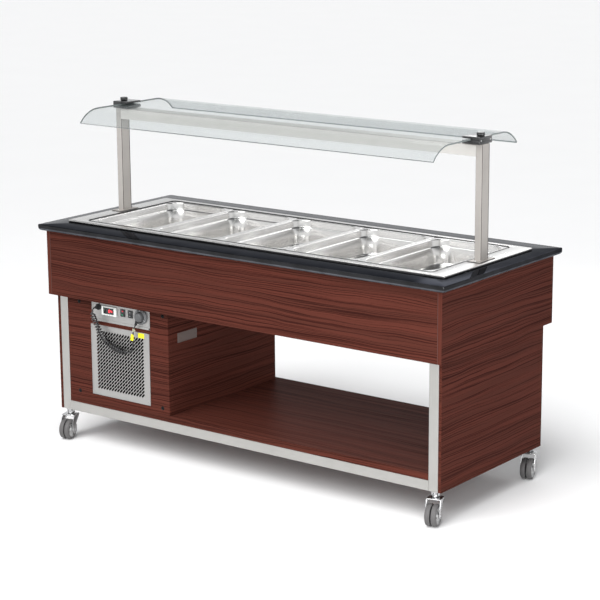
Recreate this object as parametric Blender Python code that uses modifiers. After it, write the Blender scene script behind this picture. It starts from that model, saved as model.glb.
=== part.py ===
"""Buffet trolley with five food pans, a glass canopy with a light, a machine compartment and castors.

Metres, +Z up.  The origin is on the floor under the middle of the worktop, +X runs along the
long side and the control side faces -Y.
"""
import math

import bmesh
import bpy
from mathutils import Matrix, Vector

# Driving dimensions ---------------------------------------------------------------------------
GAP = 0.0003                  # clearance kept between touching pieces
ALONG_X = Matrix(((0, 0, 1), (1, 0, 0), (0, 1, 0))).to_4x4()   # lays an outline's Z along X

BASE_BOTTOM = 0.120           # underside of the frame, the height of the castors
PAN_PLANE = 0.888             # top of the stainless deck
DECK_HALF_X = 0.889
DECK_HALF_Y = 0.2955
DECK_RISE = 0.0094            # the deck stands this far above the worktop
SHEET = 0.0012                # thickness of pressed stainless sheet

SLAB_HALF_X = 0.9556
SLAB_HALF_Y = 0.4013
SLAB_THICK = 0.0243
SLAB_TOP = PAN_PLANE - DECK_RISE
SLAB_BOTTOM = SLAB_TOP - SLAB_THICK

PAN_COUNT = 5
PAN_PITCH = 0.326
PAN_X = 0.3245                # outside of a full-size pan's rim, across
PAN_Y = 0.530                 # and front to back
PAN_DEPTH = 0.100
PAN_LIFT_CLEAR = 0.0004

APRON_HALF_X = 0.9315
APRON_HALF_Y = 0.3763
APRON_BOTTOM = 0.5946
APRON_THICK = 0.017

BASE_HALF_X = 0.9139
BASE_HALF_Y = 0.344
SIDE_THICK = 0.0131
TUBE = 0.0398                 # square frame tube
TUBE_WALL = 0.002
RAIL_HEIGHT = 0.0387
BOARD_THICK = 0.025
PANEL_THICK = 0.018
PARTITION_X = -0.3346         # niche side of the partition

CANOPY_POST_X = 0.8513
CANOPY_POST_WIDE = 0.0255
CANOPY_POST_DEEP = 0.050
CANOPY_POST_TOP = PAN_PLANE + 0.4192
CHANNEL_HEIGHT = 0.0415
CHANNEL_TOP = PAN_PLANE + 0.4165
GLASS_HALF_X = 0.825
GLASS_FLAT_HALF = 0.174
GLASS_RADIUS = 0.133
GLASS_TURN = math.radians(51.3)
GLASS_THICK = 0.006
GLASS_TOP = PAN_PLANE + 0.4385
CLAMP_INNER_X = 0.7895
CLAMP_HALF_Y = 0.0425
CLAMP_HEIGHT = 0.0275
KNOB_X = 0.842
KNOB_RADIUS = 0.015
KNOB_HEIGHT = 0.0125

STEM_X = 0.8805
STEM_Y = 0.324
CASTOR_TURN = math.radians(16)
CASTOR_TRAIL = 0.032
WHEEL_RADIUS = 0.040
WHEEL_WIDTH = 0.020
WHEEL_SPACE = 0.005
BORE_RADIUS = 0.0045
ARM_THICK = 0.003
FORK_INNER = WHEEL_WIDTH + WHEEL_SPACE / 2 + 0.002

PLATE_FACE_Y = -0.3458        # outer face of the control plate and the grille
CONTROL_X = (-0.7270, -0.4250)
CONTROL_Z = (0.5120, 0.6140)
GRILLE_X = (-0.7350, -0.4300)
GRILLE_Z = (0.2090, 0.4967)
SLOT_X = (-0.7060, -0.4610)
SLOT_Z = (0.2360, 0.4730)
THERMOSTAT_X = -0.6320
THERMOSTAT_Z = 0.5600
ROCKER_XS = (-0.5630, -0.5240)
ROCKER_Z = 0.5620
ROCKER_WIDE = 0.017
ROCKER_TALL = 0.022
ROCKER_TILT = math.radians(8)
HOLDER = (-0.4660, 0.5610)    # X and Z of the parking cup for the plug
GLAND = (-0.6900, 0.5700)
GLAND_LENGTH = 0.0200         # tapered strain relief where the lead leaves the plate
COIL_RADIUS = 0.0117          # outside radius of the curly part of the lead
CABLE_RADIUS = 0.0031

# Hand-laid route of the lead: from the gland, round under its own weight, and up to the plug
COIL_ROUTE = [
    (-0.690, -0.3666, 0.5700), (-0.690, -0.3716, 0.5700), (-0.6905, -0.3795, 0.5660),
    (-0.691, -0.3830, 0.5545), (-0.6905, -0.3790, 0.5385), (-0.6875, -0.3715, 0.516),
    (-0.677, -0.3660, 0.487),
    (-0.658, -0.3630, 0.459), (-0.635, -0.3620, 0.438), (-0.605, -0.3615, 0.4215),
    (-0.572, -0.3610, 0.413), (-0.543, -0.3610, 0.4115), (-0.530, -0.3610, 0.4125),
]
TAIL_ROUTE = [
    (-0.5297, -0.3610, 0.4126), (-0.519, -0.3610, 0.4150), (-0.508, -0.3610, 0.4240),
    (-0.502, -0.3615, 0.4390), (-0.5000, -0.3628, 0.458), (-0.4972, -0.3645, 0.482),
    (-0.4923, -0.3655, 0.5071), (-0.4818, -0.3655, 0.5287),
]

# Looks ----------------------------------------------------------------------------------------
LOOKS = {
    "wood": ((0.127, 0.034, 0.026), 0.45, 0.0),
    "stone": ((0.020, 0.020, 0.023), 0.15, 0.0),
    "stainless": ((0.70, 0.69, 0.67), 0.28, 1.0),
    "frame_steel": ((0.78, 0.77, 0.75), 0.40, 1.0),
    "satin_post": ((0.66, 0.63, 0.58), 0.45, 0.6),
    "glass": ((0.80, 0.88, 0.88), 0.05, 0.0),
    "opal": ((0.92, 0.92, 0.90), 0.50, 0.0),
    "black_gloss": ((0.010, 0.010, 0.011), 0.15, 0.0),
    "black_matt": ((0.020, 0.020, 0.022), 0.55, 0.0),
    "grey_paint": ((0.46, 0.46, 0.45), 0.50, 0.0),
    "dark_paint": ((0.035, 0.036, 0.040), 0.50, 0.0),
    "chrome": ((0.80, 0.80, 0.80), 0.12, 1.0),
    "tread": ((0.16, 0.155, 0.155), 0.60, 0.0),
    "white_plastic": ((0.82, 0.83, 0.80), 0.40, 0.0),
    "cord": ((0.025, 0.025, 0.027), 0.50, 0.0),
    "zinc_sheet": ((0.55, 0.55, 0.54), 0.45, 1.0),
}


def clear_scene():
    for old in list(bpy.data.objects):
        bpy.data.objects.remove(old, do_unlink=True)


def material(look):
    """The Principled material of that look, made once."""
    found = bpy.data.materials.get(look)
    if found:
        return found
    colour, roughness, metallic = LOOKS[look]
    made = bpy.data.materials.new(look)
    made.use_nodes = True
    shader = made.node_tree.nodes["Principled BSDF"]
    shader.inputs["Base Color"].default_value = (*colour, 1)
    shader.inputs["Roughness"].default_value = roughness
    shader.inputs["Metallic"].default_value = metallic
    return made


def collection(name):
    made = bpy.data.collections.new(name)
    bpy.context.scene.collection.children.link(made)
    return made


def place(obj, home, look):
    """Moves an object into one collection and gives it its look."""
    for old in list(obj.users_collection):
        old.objects.unlink(obj)
    home.objects.link(obj)
    if look and not obj.data.materials:
        obj.data.materials.append(material(look))
    return obj


def from_bmesh(name, mesh, look):
    data = bpy.data.meshes.new(name)
    mesh.to_mesh(data)
    mesh.free()
    obj = bpy.data.objects.new(name, data)
    return place(obj, PARTS if look else CUTTERS, look)


def round_shaded(obj, degrees=35):
    obj.data.shade_smooth()
    obj.data.set_sharp_from_angle(angle=math.radians(degrees))
    return obj


def box(name, low, high, look, bevel=0.0, segments=1):
    """A box between two corners, with its origin in its middle."""
    size = Vector(high) - Vector(low)
    mesh = bmesh.new()
    bmesh.ops.create_cube(mesh, size=1.0)
    bmesh.ops.scale(mesh, vec=size, verts=mesh.verts)
    obj = from_bmesh(name, mesh, look)
    obj.location = (Vector(low) + Vector(high)) / 2
    if bevel:
        add_bevel(obj, bevel, segments)
    return obj


def cylinder(name, centre, radius, length, axis, look, sides=24):
    """A plain cylinder about an axis, 'X', 'Y' or 'Z'."""
    mesh = bmesh.new()
    bmesh.ops.create_cone(
        mesh, cap_ends=True, segments=sides, radius1=radius, radius2=radius, depth=length)
    turn = {"X": Matrix.Rotation(math.pi / 2, 4, "Y"), "Y": Matrix.Rotation(math.pi / 2, 4, "X"),
            "Z": Matrix.Identity(4)}[axis]
    bmesh.ops.transform(mesh, matrix=turn, verts=mesh.verts)
    obj = from_bmesh(name, mesh, look)
    obj.location = centre
    return obj


def add_bevel(obj, width, segments=2):
    edge = obj.modifiers.new("edges", "BEVEL")
    edge.width = width
    edge.segments = segments
    edge.limit_method = "ANGLE"
    edge.angle_limit = math.radians(40)
    return obj


def combine(obj, other, operation="DIFFERENCE"):
    """A Boolean modifier; a solid that is joined on becomes a hidden guide like a cutter."""
    boolean = obj.modifiers.new(operation.lower(), "BOOLEAN")
    boolean.operation = operation
    boolean.solver = "EXACT"
    boolean.object = other
    place(other, CUTTERS, None)
    other.hide_render = True
    other.display_type = "WIRE"
    return obj


def outline(name, points, thick, look, holes=()):
    """A flat outline in its own XY plane, extruded both ways along its Z."""
    curve = bpy.data.curves.new(name, "CURVE")
    curve.dimensions = "2D"
    curve.fill_mode = "BOTH"
    curve.extrude = thick / 2
    for ring in (points, *holes):
        spline = curve.splines.new("POLY")
        spline.points.add(len(ring) - 1)
        for point, (x, y) in zip(spline.points, ring):
            point.co = (x, y, 0, 1)
        spline.use_cyclic_u = True
    obj = bpy.data.objects.new(name, curve)
    return place(obj, PARTS if look else CUTTERS, look)


def as_mesh(obj, look):
    """The same shape as a welded mesh, for shapes that are cut or joined."""
    bpy.context.view_layer.update()
    evaluated = obj.evaluated_get(bpy.context.evaluated_depsgraph_get())
    data = bpy.data.meshes.new_from_object(evaluated)
    mesh = bmesh.new()
    mesh.from_mesh(data)
    bmesh.ops.remove_doubles(mesh, verts=mesh.verts, dist=0.00001)
    mesh.to_mesh(data)
    mesh.free()
    name, pose = obj.name, obj.matrix_world.copy()
    old = obj.data
    bpy.data.objects.remove(obj)
    bpy.data.curves.remove(old)
    made = bpy.data.objects.new(name, data)
    made.matrix_world = pose
    return place(made, PARTS if look else CUTTERS, look)


def turned(name, profile, look, steps=24, axis="Z"):
    """A profile of (radius, height) turned about an axis; it runs from the top down outside.

    It is open where it starts and ends on the axis, and closed otherwise."""
    mesh = bmesh.new()
    verts = [mesh.verts.new((radius, 0, height)) for radius, height in profile]
    closing = [] if profile[0][0] == 0 else verts[:1]
    for first, second in zip(verts, verts[1:] + closing):
        mesh.edges.new((first, second))
    obj = from_bmesh(name, mesh, look)
    screw = obj.modifiers.new("turn", "SCREW")
    screw.steps = screw.render_steps = steps
    screw.use_merge_vertices = True
    screw.merge_threshold = 0.00001
    screw.use_smooth_shade = True
    obj.rotation_euler = {"Z": (0, 0, 0), "X": (0, math.pi / 2, 0), "Y": (math.pi / 2, 0, 0)}[axis]
    return obj


def rounded_ring(half_x, half_y, radius, height, corner_steps=4):
    """The points of a rectangle with rounded corners, counter-clockwise from +X +Y."""
    ring = []
    for quarter, (sign_x, sign_y) in enumerate(((1, 1), (-1, 1), (-1, -1), (1, -1))):
        for step in range(corner_steps + 1):
            angle = math.pi / 2 * (quarter + step / corner_steps)
            ring.append((
                sign_x * (half_x - radius) + radius * math.cos(angle),
                sign_y * (half_y - radius) + radius * math.sin(angle), height))
    return ring


def pressed(name, rings, look, corner_steps=4, thick=SHEET):
    """A pressed sheet vessel: rings from its outer edge to its bottom, the last one closed."""
    mesh = bmesh.new()
    loops = [[mesh.verts.new(p) for p in rounded_ring(*ring, corner_steps)] for ring in rings]
    for outer, inner in zip(loops, loops[1:]):
        for i in range(len(outer)):
            j = (i + 1) % len(outer)
            mesh.faces.new((outer[i], outer[j], inner[j], inner[i]))
    mesh.faces.new(loops[-1])
    obj = from_bmesh(name, mesh, look)
    shell = obj.modifiers.new("sheet", "SOLIDIFY")
    shell.thickness = thick
    shell.offset = -1
    return round_shaded(obj, 50)


def smooth_route(points, spacing):
    """Points about spacing apart along a smooth curve through the given ones."""
    line = [Vector(p) for p in points]
    line = [2 * line[0] - line[1]] + line + [2 * line[-1] - line[-2]]
    smooth = []
    for a, b, c, d in zip(line, line[1:], line[2:], line[3:]):
        pieces = max(2, round((c - b).length / spacing))
        for k in range(pieces):
            t = k / pieces
            smooth.append(0.5 * (
                2 * b + (c - a) * t + (2 * a - 5 * b + 4 * c - d) * t * t
                + (3 * b - a - 3 * c + d) * t ** 3))
    return smooth + [line[-2]]


def tube(name, points, radius, look):
    curve = bpy.data.curves.new(name, "CURVE")
    curve.dimensions = "3D"
    curve.bevel_depth = radius
    curve.bevel_resolution = 2
    curve.use_fill_caps = True
    spline = curve.splines.new("POLY")
    spline.points.add(len(points) - 1)
    for point, place_at in zip(spline.points, points):
        point.co = (*place_at, 1)
    return place(bpy.data.objects.new(name, curve), PARTS, look)


# Worktop and well -----------------------------------------------------------------------------
RIM_OPENING = (PAN_COUNT * PAN_PITCH / 2 + 0.0015, PAN_Y / 2 + 0.0015)
WELL_DROP = 0.0030            # the pans' ledge lies this far under the deck
WELL_HALF = (RIM_OPENING[0] - 0.0135, RIM_OPENING[1] - 0.0130)
WELL_BOTTOM = PAN_PLANE - 0.150
CASE_SPACE = 0.034            # room for the foam between the well and its jacket
CASE_SHEET = 0.0015
CASE_BOTTOM = 0.700


def make_worktop():
    slab = box(
        "worktop_slab", (-SLAB_HALF_X, -SLAB_HALF_Y, SLAB_BOTTOM),
        (SLAB_HALF_X, SLAB_HALF_Y, SLAB_TOP), "stone", 0.003, 2)
    hole = (RIM_OPENING[0] + 0.006, RIM_OPENING[1] + 0.006)
    cutter = box(
        "worktop_cutout", (-hole[0], -hole[1], SLAB_BOTTOM - 0.01),
        (hole[0], hole[1], SLAB_TOP + 0.01), None)
    combine(slab, cutter)


def make_well():
    """The raised stainless deck with the water-tight well under it, one pressed piece."""
    pressed("well_tub", [
        (DECK_HALF_X, DECK_HALF_Y, 0.006, SLAB_TOP + GAP),
        (DECK_HALF_X, DECK_HALF_Y, 0.006, PAN_PLANE - 0.0015),
        (DECK_HALF_X - 0.0015, DECK_HALF_Y - 0.0015, 0.0045, PAN_PLANE),
        (RIM_OPENING[0], RIM_OPENING[1], 0.020, PAN_PLANE),
        (RIM_OPENING[0], RIM_OPENING[1], 0.020, PAN_PLANE - WELL_DROP),
        (WELL_HALF[0], WELL_HALF[1], 0.020, PAN_PLANE - WELL_DROP),
        (WELL_HALF[0], WELL_HALF[1], 0.020, WELL_BOTTOM + 0.012),
        (WELL_HALF[0] - 0.012, WELL_HALF[1] - 0.012, 0.010, WELL_BOTTOM),
    ], "stainless")
    outer = (WELL_HALF[0] + CASE_SPACE, WELL_HALF[1] + CASE_SPACE)
    inner = (outer[0] - CASE_SHEET, outer[1] - CASE_SHEET)
    case = box(
        "well_casing", (-outer[0], -outer[1], CASE_BOTTOM),
        (outer[0], outer[1], SLAB_BOTTOM - GAP), "zinc_sheet")
    cutter = box(
        "casing_hollow", (-inner[0], -inner[1], CASE_BOTTOM + CASE_SHEET),
        (inner[0], inner[1], SLAB_BOTTOM + 0.02), None)
    combine(case, cutter)


def make_pans():
    """Full-size pans side by side; each hangs by its rim on the well's ledge."""
    half_x, half_y = PAN_X / 2, PAN_Y / 2
    rim = 0.0125
    ledge = 0.0065
    taper = 0.0060
    floor_round = 0.020
    corner = 0.056            # upright corners of the pan, inside its rim
    step_top = 0.026          # depth of the stacking step
    top = 0.0014
    rings = [
        (half_x, half_y, 0.022, 0.0),
        (half_x, half_y, 0.022, top),
        (half_x - rim, half_y - rim, corner, top),
        (half_x - rim - 0.002, half_y - rim - 0.002, corner, -0.004),
        (half_x - rim - 0.003, half_y - rim - 0.003, corner, -step_top),
        (half_x - rim - ledge, half_y - rim - ledge, corner + 0.006, -step_top - 0.003),
        (half_x - rim - ledge - taper, half_y - rim - ledge - taper, corner + 0.006,
         floor_round - PAN_DEPTH),
        (half_x - rim - ledge - taper - 0.006, half_y - rim - ledge - taper - 0.006,
         corner + 0.003, 0.006 - PAN_DEPTH),
        (half_x - rim - ledge - taper - floor_round, half_y - rim - ledge - taper - floor_round,
         corner - 0.010, -PAN_DEPTH),
    ]
    rest = PAN_PLANE - WELL_DROP + PAN_LIFT_CLEAR
    for index in range(PAN_COUNT):
        pan = pressed(f"food_pan_{index + 1}", rings, "stainless", 6, 0.0010)
        pan.location = ((index - (PAN_COUNT - 1) / 2) * PAN_PITCH, 0, rest)


# Wooden panels and frame ----------------------------------------------------------------------
def make_aprons():
    """Side boards run the full depth and show their front edge as a plain upright strip."""
    top = SLAB_BOTTOM - GAP
    between = APRON_HALF_X - APRON_THICK - GAP
    for side, name in ((-1, "left"), (1, "right")):
        inner, outer = sorted((side * (APRON_HALF_X - APRON_THICK), side * APRON_HALF_X))
        box(f"apron_{name}", (inner, -APRON_HALF_Y, APRON_BOTTOM),
            (outer, APRON_HALF_Y, top), "wood", 0.001)
    for side, name in ((-1, "front"), (1, "rear")):
        near, far = sorted((side * (APRON_HALF_Y - APRON_THICK), side * APRON_HALF_Y))
        box(f"apron_{name}", (-between, near, APRON_BOTTOM),
            (between, far, top), "wood", 0.001)


def make_side_panels():
    for side, name in ((-1, "left"), (1, "right")):
        inner, outer = sorted((side * (BASE_HALF_X - SIDE_THICK), side * BASE_HALF_X))
        box(f"side_panel_{name}", (inner, -BASE_HALF_Y, BASE_BOTTOM),
            (outer, BASE_HALF_Y, SLAB_BOTTOM - GAP), "wood", 0.001)


POST_OUTER_X = BASE_HALF_X - SIDE_THICK - GAP
POST_INNER_X = POST_OUTER_X - TUBE
POST_INNER_Y = BASE_HALF_Y - TUBE


def make_frame():
    """Four square tube uprights with a rail between them at the front and the rear."""
    for side_x, name_x in ((-1, "left"), (1, "right")):
        for side_y, name_y in ((-1, "front"), (1, "rear")):
            xs = sorted((side_x * POST_INNER_X, side_x * POST_OUTER_X))
            ys = sorted((side_y * POST_INNER_Y, side_y * BASE_HALF_Y))
            name = f"frame_post_{name_y}_{name_x}"
            post = box(name, (xs[0], ys[0], BASE_BOTTOM), (xs[1], ys[1], SLAB_BOTTOM - GAP),
                       "frame_steel", 0.0015)
            foot = 0.004
            hollow = box(f"{name}_hollow", (xs[0] + TUBE_WALL, ys[0] + TUBE_WALL,
                                            BASE_BOTTOM + foot),
                         (xs[1] - TUBE_WALL, ys[1] - TUBE_WALL, SLAB_BOTTOM + 0.02), None)
            combine(post, hollow)
    for side, name in ((-1, "front"), (1, "rear")):
        ys = sorted((side * POST_INNER_Y, side * BASE_HALF_Y))
        end = POST_INNER_X - GAP
        rail = box(f"bottom_rail_{name}", (-end, ys[0], BASE_BOTTOM),
                   (end, ys[1], BASE_BOTTOM + RAIL_HEIGHT), "frame_steel", 0.0015)
        hollow = box(f"bottom_rail_{name}_hollow",
                     (-end - 0.01, ys[0] + TUBE_WALL, BASE_BOTTOM + TUBE_WALL),
                     (end + 0.01, ys[1] - TUBE_WALL, BASE_BOTTOM + RAIL_HEIGHT - TUBE_WALL), None)
        combine(rail, hollow)


BOARD_BOTTOM = BASE_BOTTOM + RAIL_HEIGHT + GAP
BOARD_TOP = BOARD_BOTTOM + BOARD_THICK
PANEL_TOP = CASE_BOTTOM - GAP
REAR_FACE = 0.322


def make_floor_and_walls():
    """Two floor boards, notched for the uprights, and the walls of the machine compartment."""
    wide, notch_x = POST_OUTER_X, POST_INNER_X - GAP
    deep, notch_y = BASE_HALF_Y, POST_INNER_Y - GAP
    boards = (("niche_floor", 1, PARTITION_X + GAP), ("machine_floor", -1, PARTITION_X))
    for name, side, seam in boards:
        board = outline(name, [
            (seam, -deep), (side * notch_x, -deep), (side * notch_x, -notch_y),
            (side * wide, -notch_y), (side * wide, notch_y), (side * notch_x, notch_y),
            (side * notch_x, deep), (seam, deep),
        ], BOARD_THICK, "wood")
        board.location.z = BOARD_BOTTOM + BOARD_THICK / 2
    low = BOARD_TOP + GAP
    left = -POST_INNER_X + GAP
    front = box("compartment_front", (left, -BASE_HALF_Y, low),
                (PARTITION_X, -BASE_HALF_Y + PANEL_THICK, PANEL_TOP), "wood", 0.0008)
    margin = 0.018
    openings = (("control_opening", CONTROL_X, CONTROL_Z), ("grille_opening", GRILLE_X, GRILLE_Z))
    for name, xs, zs in openings:
        cutter = box(name, (xs[0] + margin, -BASE_HALF_Y - 0.02, zs[0] + margin),
                     (xs[1] - margin, -BASE_HALF_Y + 0.05, zs[1] - margin), None)
        combine(front, cutter)
    box("compartment_rear", (left, REAR_FACE - PANEL_THICK, low),
        (PARTITION_X, REAR_FACE, PANEL_TOP), "wood", 0.0008)
    box("partition", (PARTITION_X - PANEL_THICK, -BASE_HALF_Y + PANEL_THICK + GAP, low),
        (PARTITION_X, REAR_FACE - PANEL_THICK - GAP, PANEL_TOP), "wood", 0.0008)


# Controls, grille and lead --------------------------------------------------------------------
PLATE_BACK_Y = -BASE_HALF_Y - GAP
THERMOSTAT_BEZEL = (0.076, 0.0365)
THERMOSTAT_BODY = (0.070, 0.0285)


def make_control_plate():
    plate = box("control_plate", (CONTROL_X[0], PLATE_FACE_Y, CONTROL_Z[0]),
                (CONTROL_X[1], PLATE_BACK_Y, CONTROL_Z[1]), "stainless")
    holes = [("display", THERMOSTAT_X, THERMOSTAT_Z,
              THERMOSTAT_BODY[0] + 0.001, THERMOSTAT_BODY[1] + 0.001)]
    holes += [(f"rocker_{i + 1}", x, ROCKER_Z, ROCKER_WIDE + 0.002, ROCKER_TALL + 0.003)
              for i, x in enumerate(ROCKER_XS)]
    for name, x, z, wide, tall in holes:
        cutter = box(f"{name}_hole", (x - wide / 2, PLATE_FACE_Y - 0.01, z - tall / 2),
                     (x + wide / 2, PLATE_BACK_Y + 0.01, z + tall / 2), None)
        combine(plate, cutter)


def make_thermostat():
    bezel_x, bezel_z = (size / 2 for size in THERMOSTAT_BEZEL)
    body_x, body_z = (size / 2 for size in THERMOSTAT_BODY)
    face, back = PLATE_FACE_Y - 0.0075, PLATE_FACE_Y - GAP
    bezel = box("thermostat", (THERMOSTAT_X - bezel_x, face, THERMOSTAT_Z - bezel_z),
                (THERMOSTAT_X + bezel_x, back, THERMOSTAT_Z + bezel_z), "white_plastic", 0.002, 2)
    body = box("thermostat_body", (THERMOSTAT_X - body_x, back - 0.003, THERMOSTAT_Z - body_z),
               (THERMOSTAT_X + body_x, back + 0.050, THERMOSTAT_Z + body_z), None)
    combine(bezel, body, "UNION")


def make_rockers():
    """Each paddle is a shallow V that turns on a cross axis behind the plate."""
    half = ROCKER_TALL / 2
    section = [(-half, 0.0045), (0, 0.0015), (half, 0.0045), (half, -0.0025), (0.004, -0.007),
               (-0.004, -0.007), (-half, -0.0025)]
    turn = Matrix(((0, 0, 1), (0, -1, 0), (1, 0, 0))).to_4x4()
    for index, x in enumerate(ROCKER_XS):
        rocker = outline(f"rocker_{index + 1}", section, ROCKER_WIDE, "black_gloss")
        tilt = Matrix.Rotation(-ROCKER_TILT, 4, "X")
        rocker.matrix_world = Matrix.Translation((x, PLATE_FACE_Y, ROCKER_Z)) @ tilt @ turn


def make_grille():
    """A flat grille; its rows of short slots are drawn here as one long slot a row."""
    grille = box("grille", (GRILLE_X[0], PLATE_FACE_Y, GRILLE_Z[0]),
                 (GRILLE_X[1], PLATE_BACK_Y, GRILLE_Z[1]), "stainless")
    rows = 8
    pitch = (SLOT_Z[1] - SLOT_Z[0]) / rows
    for row in range(rows):
        z = SLOT_Z[0] + (row + 0.5) * pitch
        cutter = box(f"grille_slot_{row + 1}", (SLOT_X[0], PLATE_FACE_Y - 0.01, z - pitch * 0.2),
                     (SLOT_X[1], PLATE_BACK_Y + 0.01, z + pitch * 0.2), None)
        combine(grille, cutter)


def make_plug_and_lead():
    x, z = HOLDER
    cup = turned("plug_holder", [
        (0.0, 0.0030), (0.0215, 0.0030), (0.0225, 0.0120), (0.0290, 0.0120), (0.0305, 0.0105),
        (0.0305, 0.0000), (0.0, 0.0000),
    ], "grey_paint", 32)
    cup.rotation_euler = (math.pi / 2, 0, 0)
    cup.location = (x, PLATE_FACE_Y - GAP, z)
    plug = turned("plug", [
        (0.0, 0.0255), (0.0125, 0.0255), (0.0165, 0.0225), (0.0195, 0.0130), (0.0195, 0.0),
        (0.0, 0.0),
    ], "black_matt", 24)
    plug.rotation_euler = (math.pi / 2, 0, 0)
    plug.location = (x, PLATE_FACE_Y - 0.0030 - 3 * GAP, z)
    end = Vector(TAIL_ROUTE[-1])
    middle = Vector((x, end.y, z))
    axis = (end - middle).normalized()
    start = middle + axis * 0.010
    length = (end - start).length - 2 * GAP
    sleeve = turned("plug_sleeve", [
        (0.0, length), (0.0045, length), (0.0062, 0.0), (0.0, 0.0)], None, 16)
    sleeve.matrix_world = Matrix.Translation(start) @ axis.to_track_quat("Z", "Y").to_matrix().to_4x4()
    combine(plug, sleeve, "UNION")
    flange = 0.0050
    gland = turned("cord_gland", [
        (0.0, GLAND_LENGTH), (0.0046, GLAND_LENGTH), (0.0085, flange + 0.0015), (0.0105, flange),
        (0.0125, flange), (0.0125, 0.0), (0.0, 0.0),
    ], "black_matt", 16)
    gland.rotation_euler = (math.pi / 2, 0, 0)
    gland.location = (GLAND[0], PLATE_FACE_Y - GAP, GLAND[1])
    tube("cord_coil", smooth_route(COIL_ROUTE, 0.014), COIL_RADIUS, "cord")
    tube("cord_tail", smooth_route(TAIL_ROUTE, 0.009), CABLE_RADIUS, "cord")


# Machine compartment --------------------------------------------------------------------------
COMPRESSOR_AT = (-0.500, 0.150)
FAN_AT = (-0.5825, -0.190, 0.365)
CONDENSER_Y = (-0.300, -0.245)


def make_machinery():
    """A hermetic compressor, a finned coil behind the grille and its fan."""
    base = BOARD_TOP + GAP
    shell = turned("compressor", [
        (0.0, 0.185), (0.030, 0.182), (0.055, 0.165), (0.066, 0.140), (0.066, 0.105),
        (0.070, 0.105), (0.070, 0.098), (0.066, 0.098), (0.066, 0.040), (0.052, 0.018),
        (0.045, 0.014), (0.045, 0.0), (0.0, 0.0),
    ], "dark_paint", 16)
    shell.location = (*COMPRESSOR_AT, base)
    half_x, half_z = 0.125, 0.120
    x, fan_y, z = FAN_AT
    coil = box("condenser", (x - half_x, CONDENSER_Y[0], z - half_z),
               (x + half_x, CONDENSER_Y[1], z + half_z), "zinc_sheet")
    foot = box("condenser_foot", (x - half_x * 0.8, CONDENSER_Y[0] + 0.012, base),
               (x + half_x * 0.8, CONDENSER_Y[1] - 0.012, z - half_z + 0.01), None)
    combine(coil, foot, "UNION")
    motor = cylinder("fan_motor", (x, fan_y + 0.0435, z), 0.036, 0.060, "Y", "dark_paint", 20)
    stand = box("fan_motor_stand", (x - 0.030, fan_y + 0.030, base),
                (x + 0.030, fan_y + 0.034, z), None)
    combine(motor, stand, "UNION")
    rotor = cylinder("fan_rotor", FAN_AT, 0.022, 0.026, "Y", "dark_paint", 20)
    blades = 5
    for blade in range(blades):
        turn = Matrix.Rotation(2 * math.pi * blade / blades, 4, "Y")
        pitch = Matrix.Rotation(math.radians(28), 4, "Z")
        vane = box(f"fan_blade_{blade + 1}", (-0.022, -0.0012, 0.0), (0.022, 0.0012, 0.095), None)
        out = Matrix.Translation((0, 0, 0.0565))
        vane.matrix_world = Matrix.Translation(FAN_AT) @ turn @ out @ pitch
        combine(rotor, vane, "UNION")


# Canopy ---------------------------------------------------------------------------------------
def glass_section():
    """Top line of the glass from front to back: flat, with an arc down at each long edge."""
    steps = 8
    line = []
    for step in range(steps, 0, -1):
        angle = GLASS_TURN * step / steps
        line.append((-GLASS_FLAT_HALF - GLASS_RADIUS * math.sin(angle),
                     GLASS_TOP - GLASS_RADIUS * (1 - math.cos(angle))))
    line.append((-GLASS_FLAT_HALF, GLASS_TOP))
    return line + [(-y, z) for y, z in reversed(line)]


def make_glass():
    mesh = bmesh.new()
    line = glass_section()
    left = [mesh.verts.new((-GLASS_HALF_X, y, z)) for y, z in line]
    right = [mesh.verts.new((GLASS_HALF_X, y, z)) for y, z in line]
    for i in range(len(line) - 1):
        mesh.faces.new((left[i], right[i], right[i + 1], left[i + 1]))
    glass = from_bmesh("canopy_glass", mesh, "glass")
    sheet = glass.modifiers.new("thickness", "SOLIDIFY")
    sheet.thickness = GLASS_THICK
    sheet.offset = -1
    round_shaded(glass, 30)


FOOT_HALF_X = 0.025
FOOT_HALF_Y = 0.050
FOOT_THICK = 0.003


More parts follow.
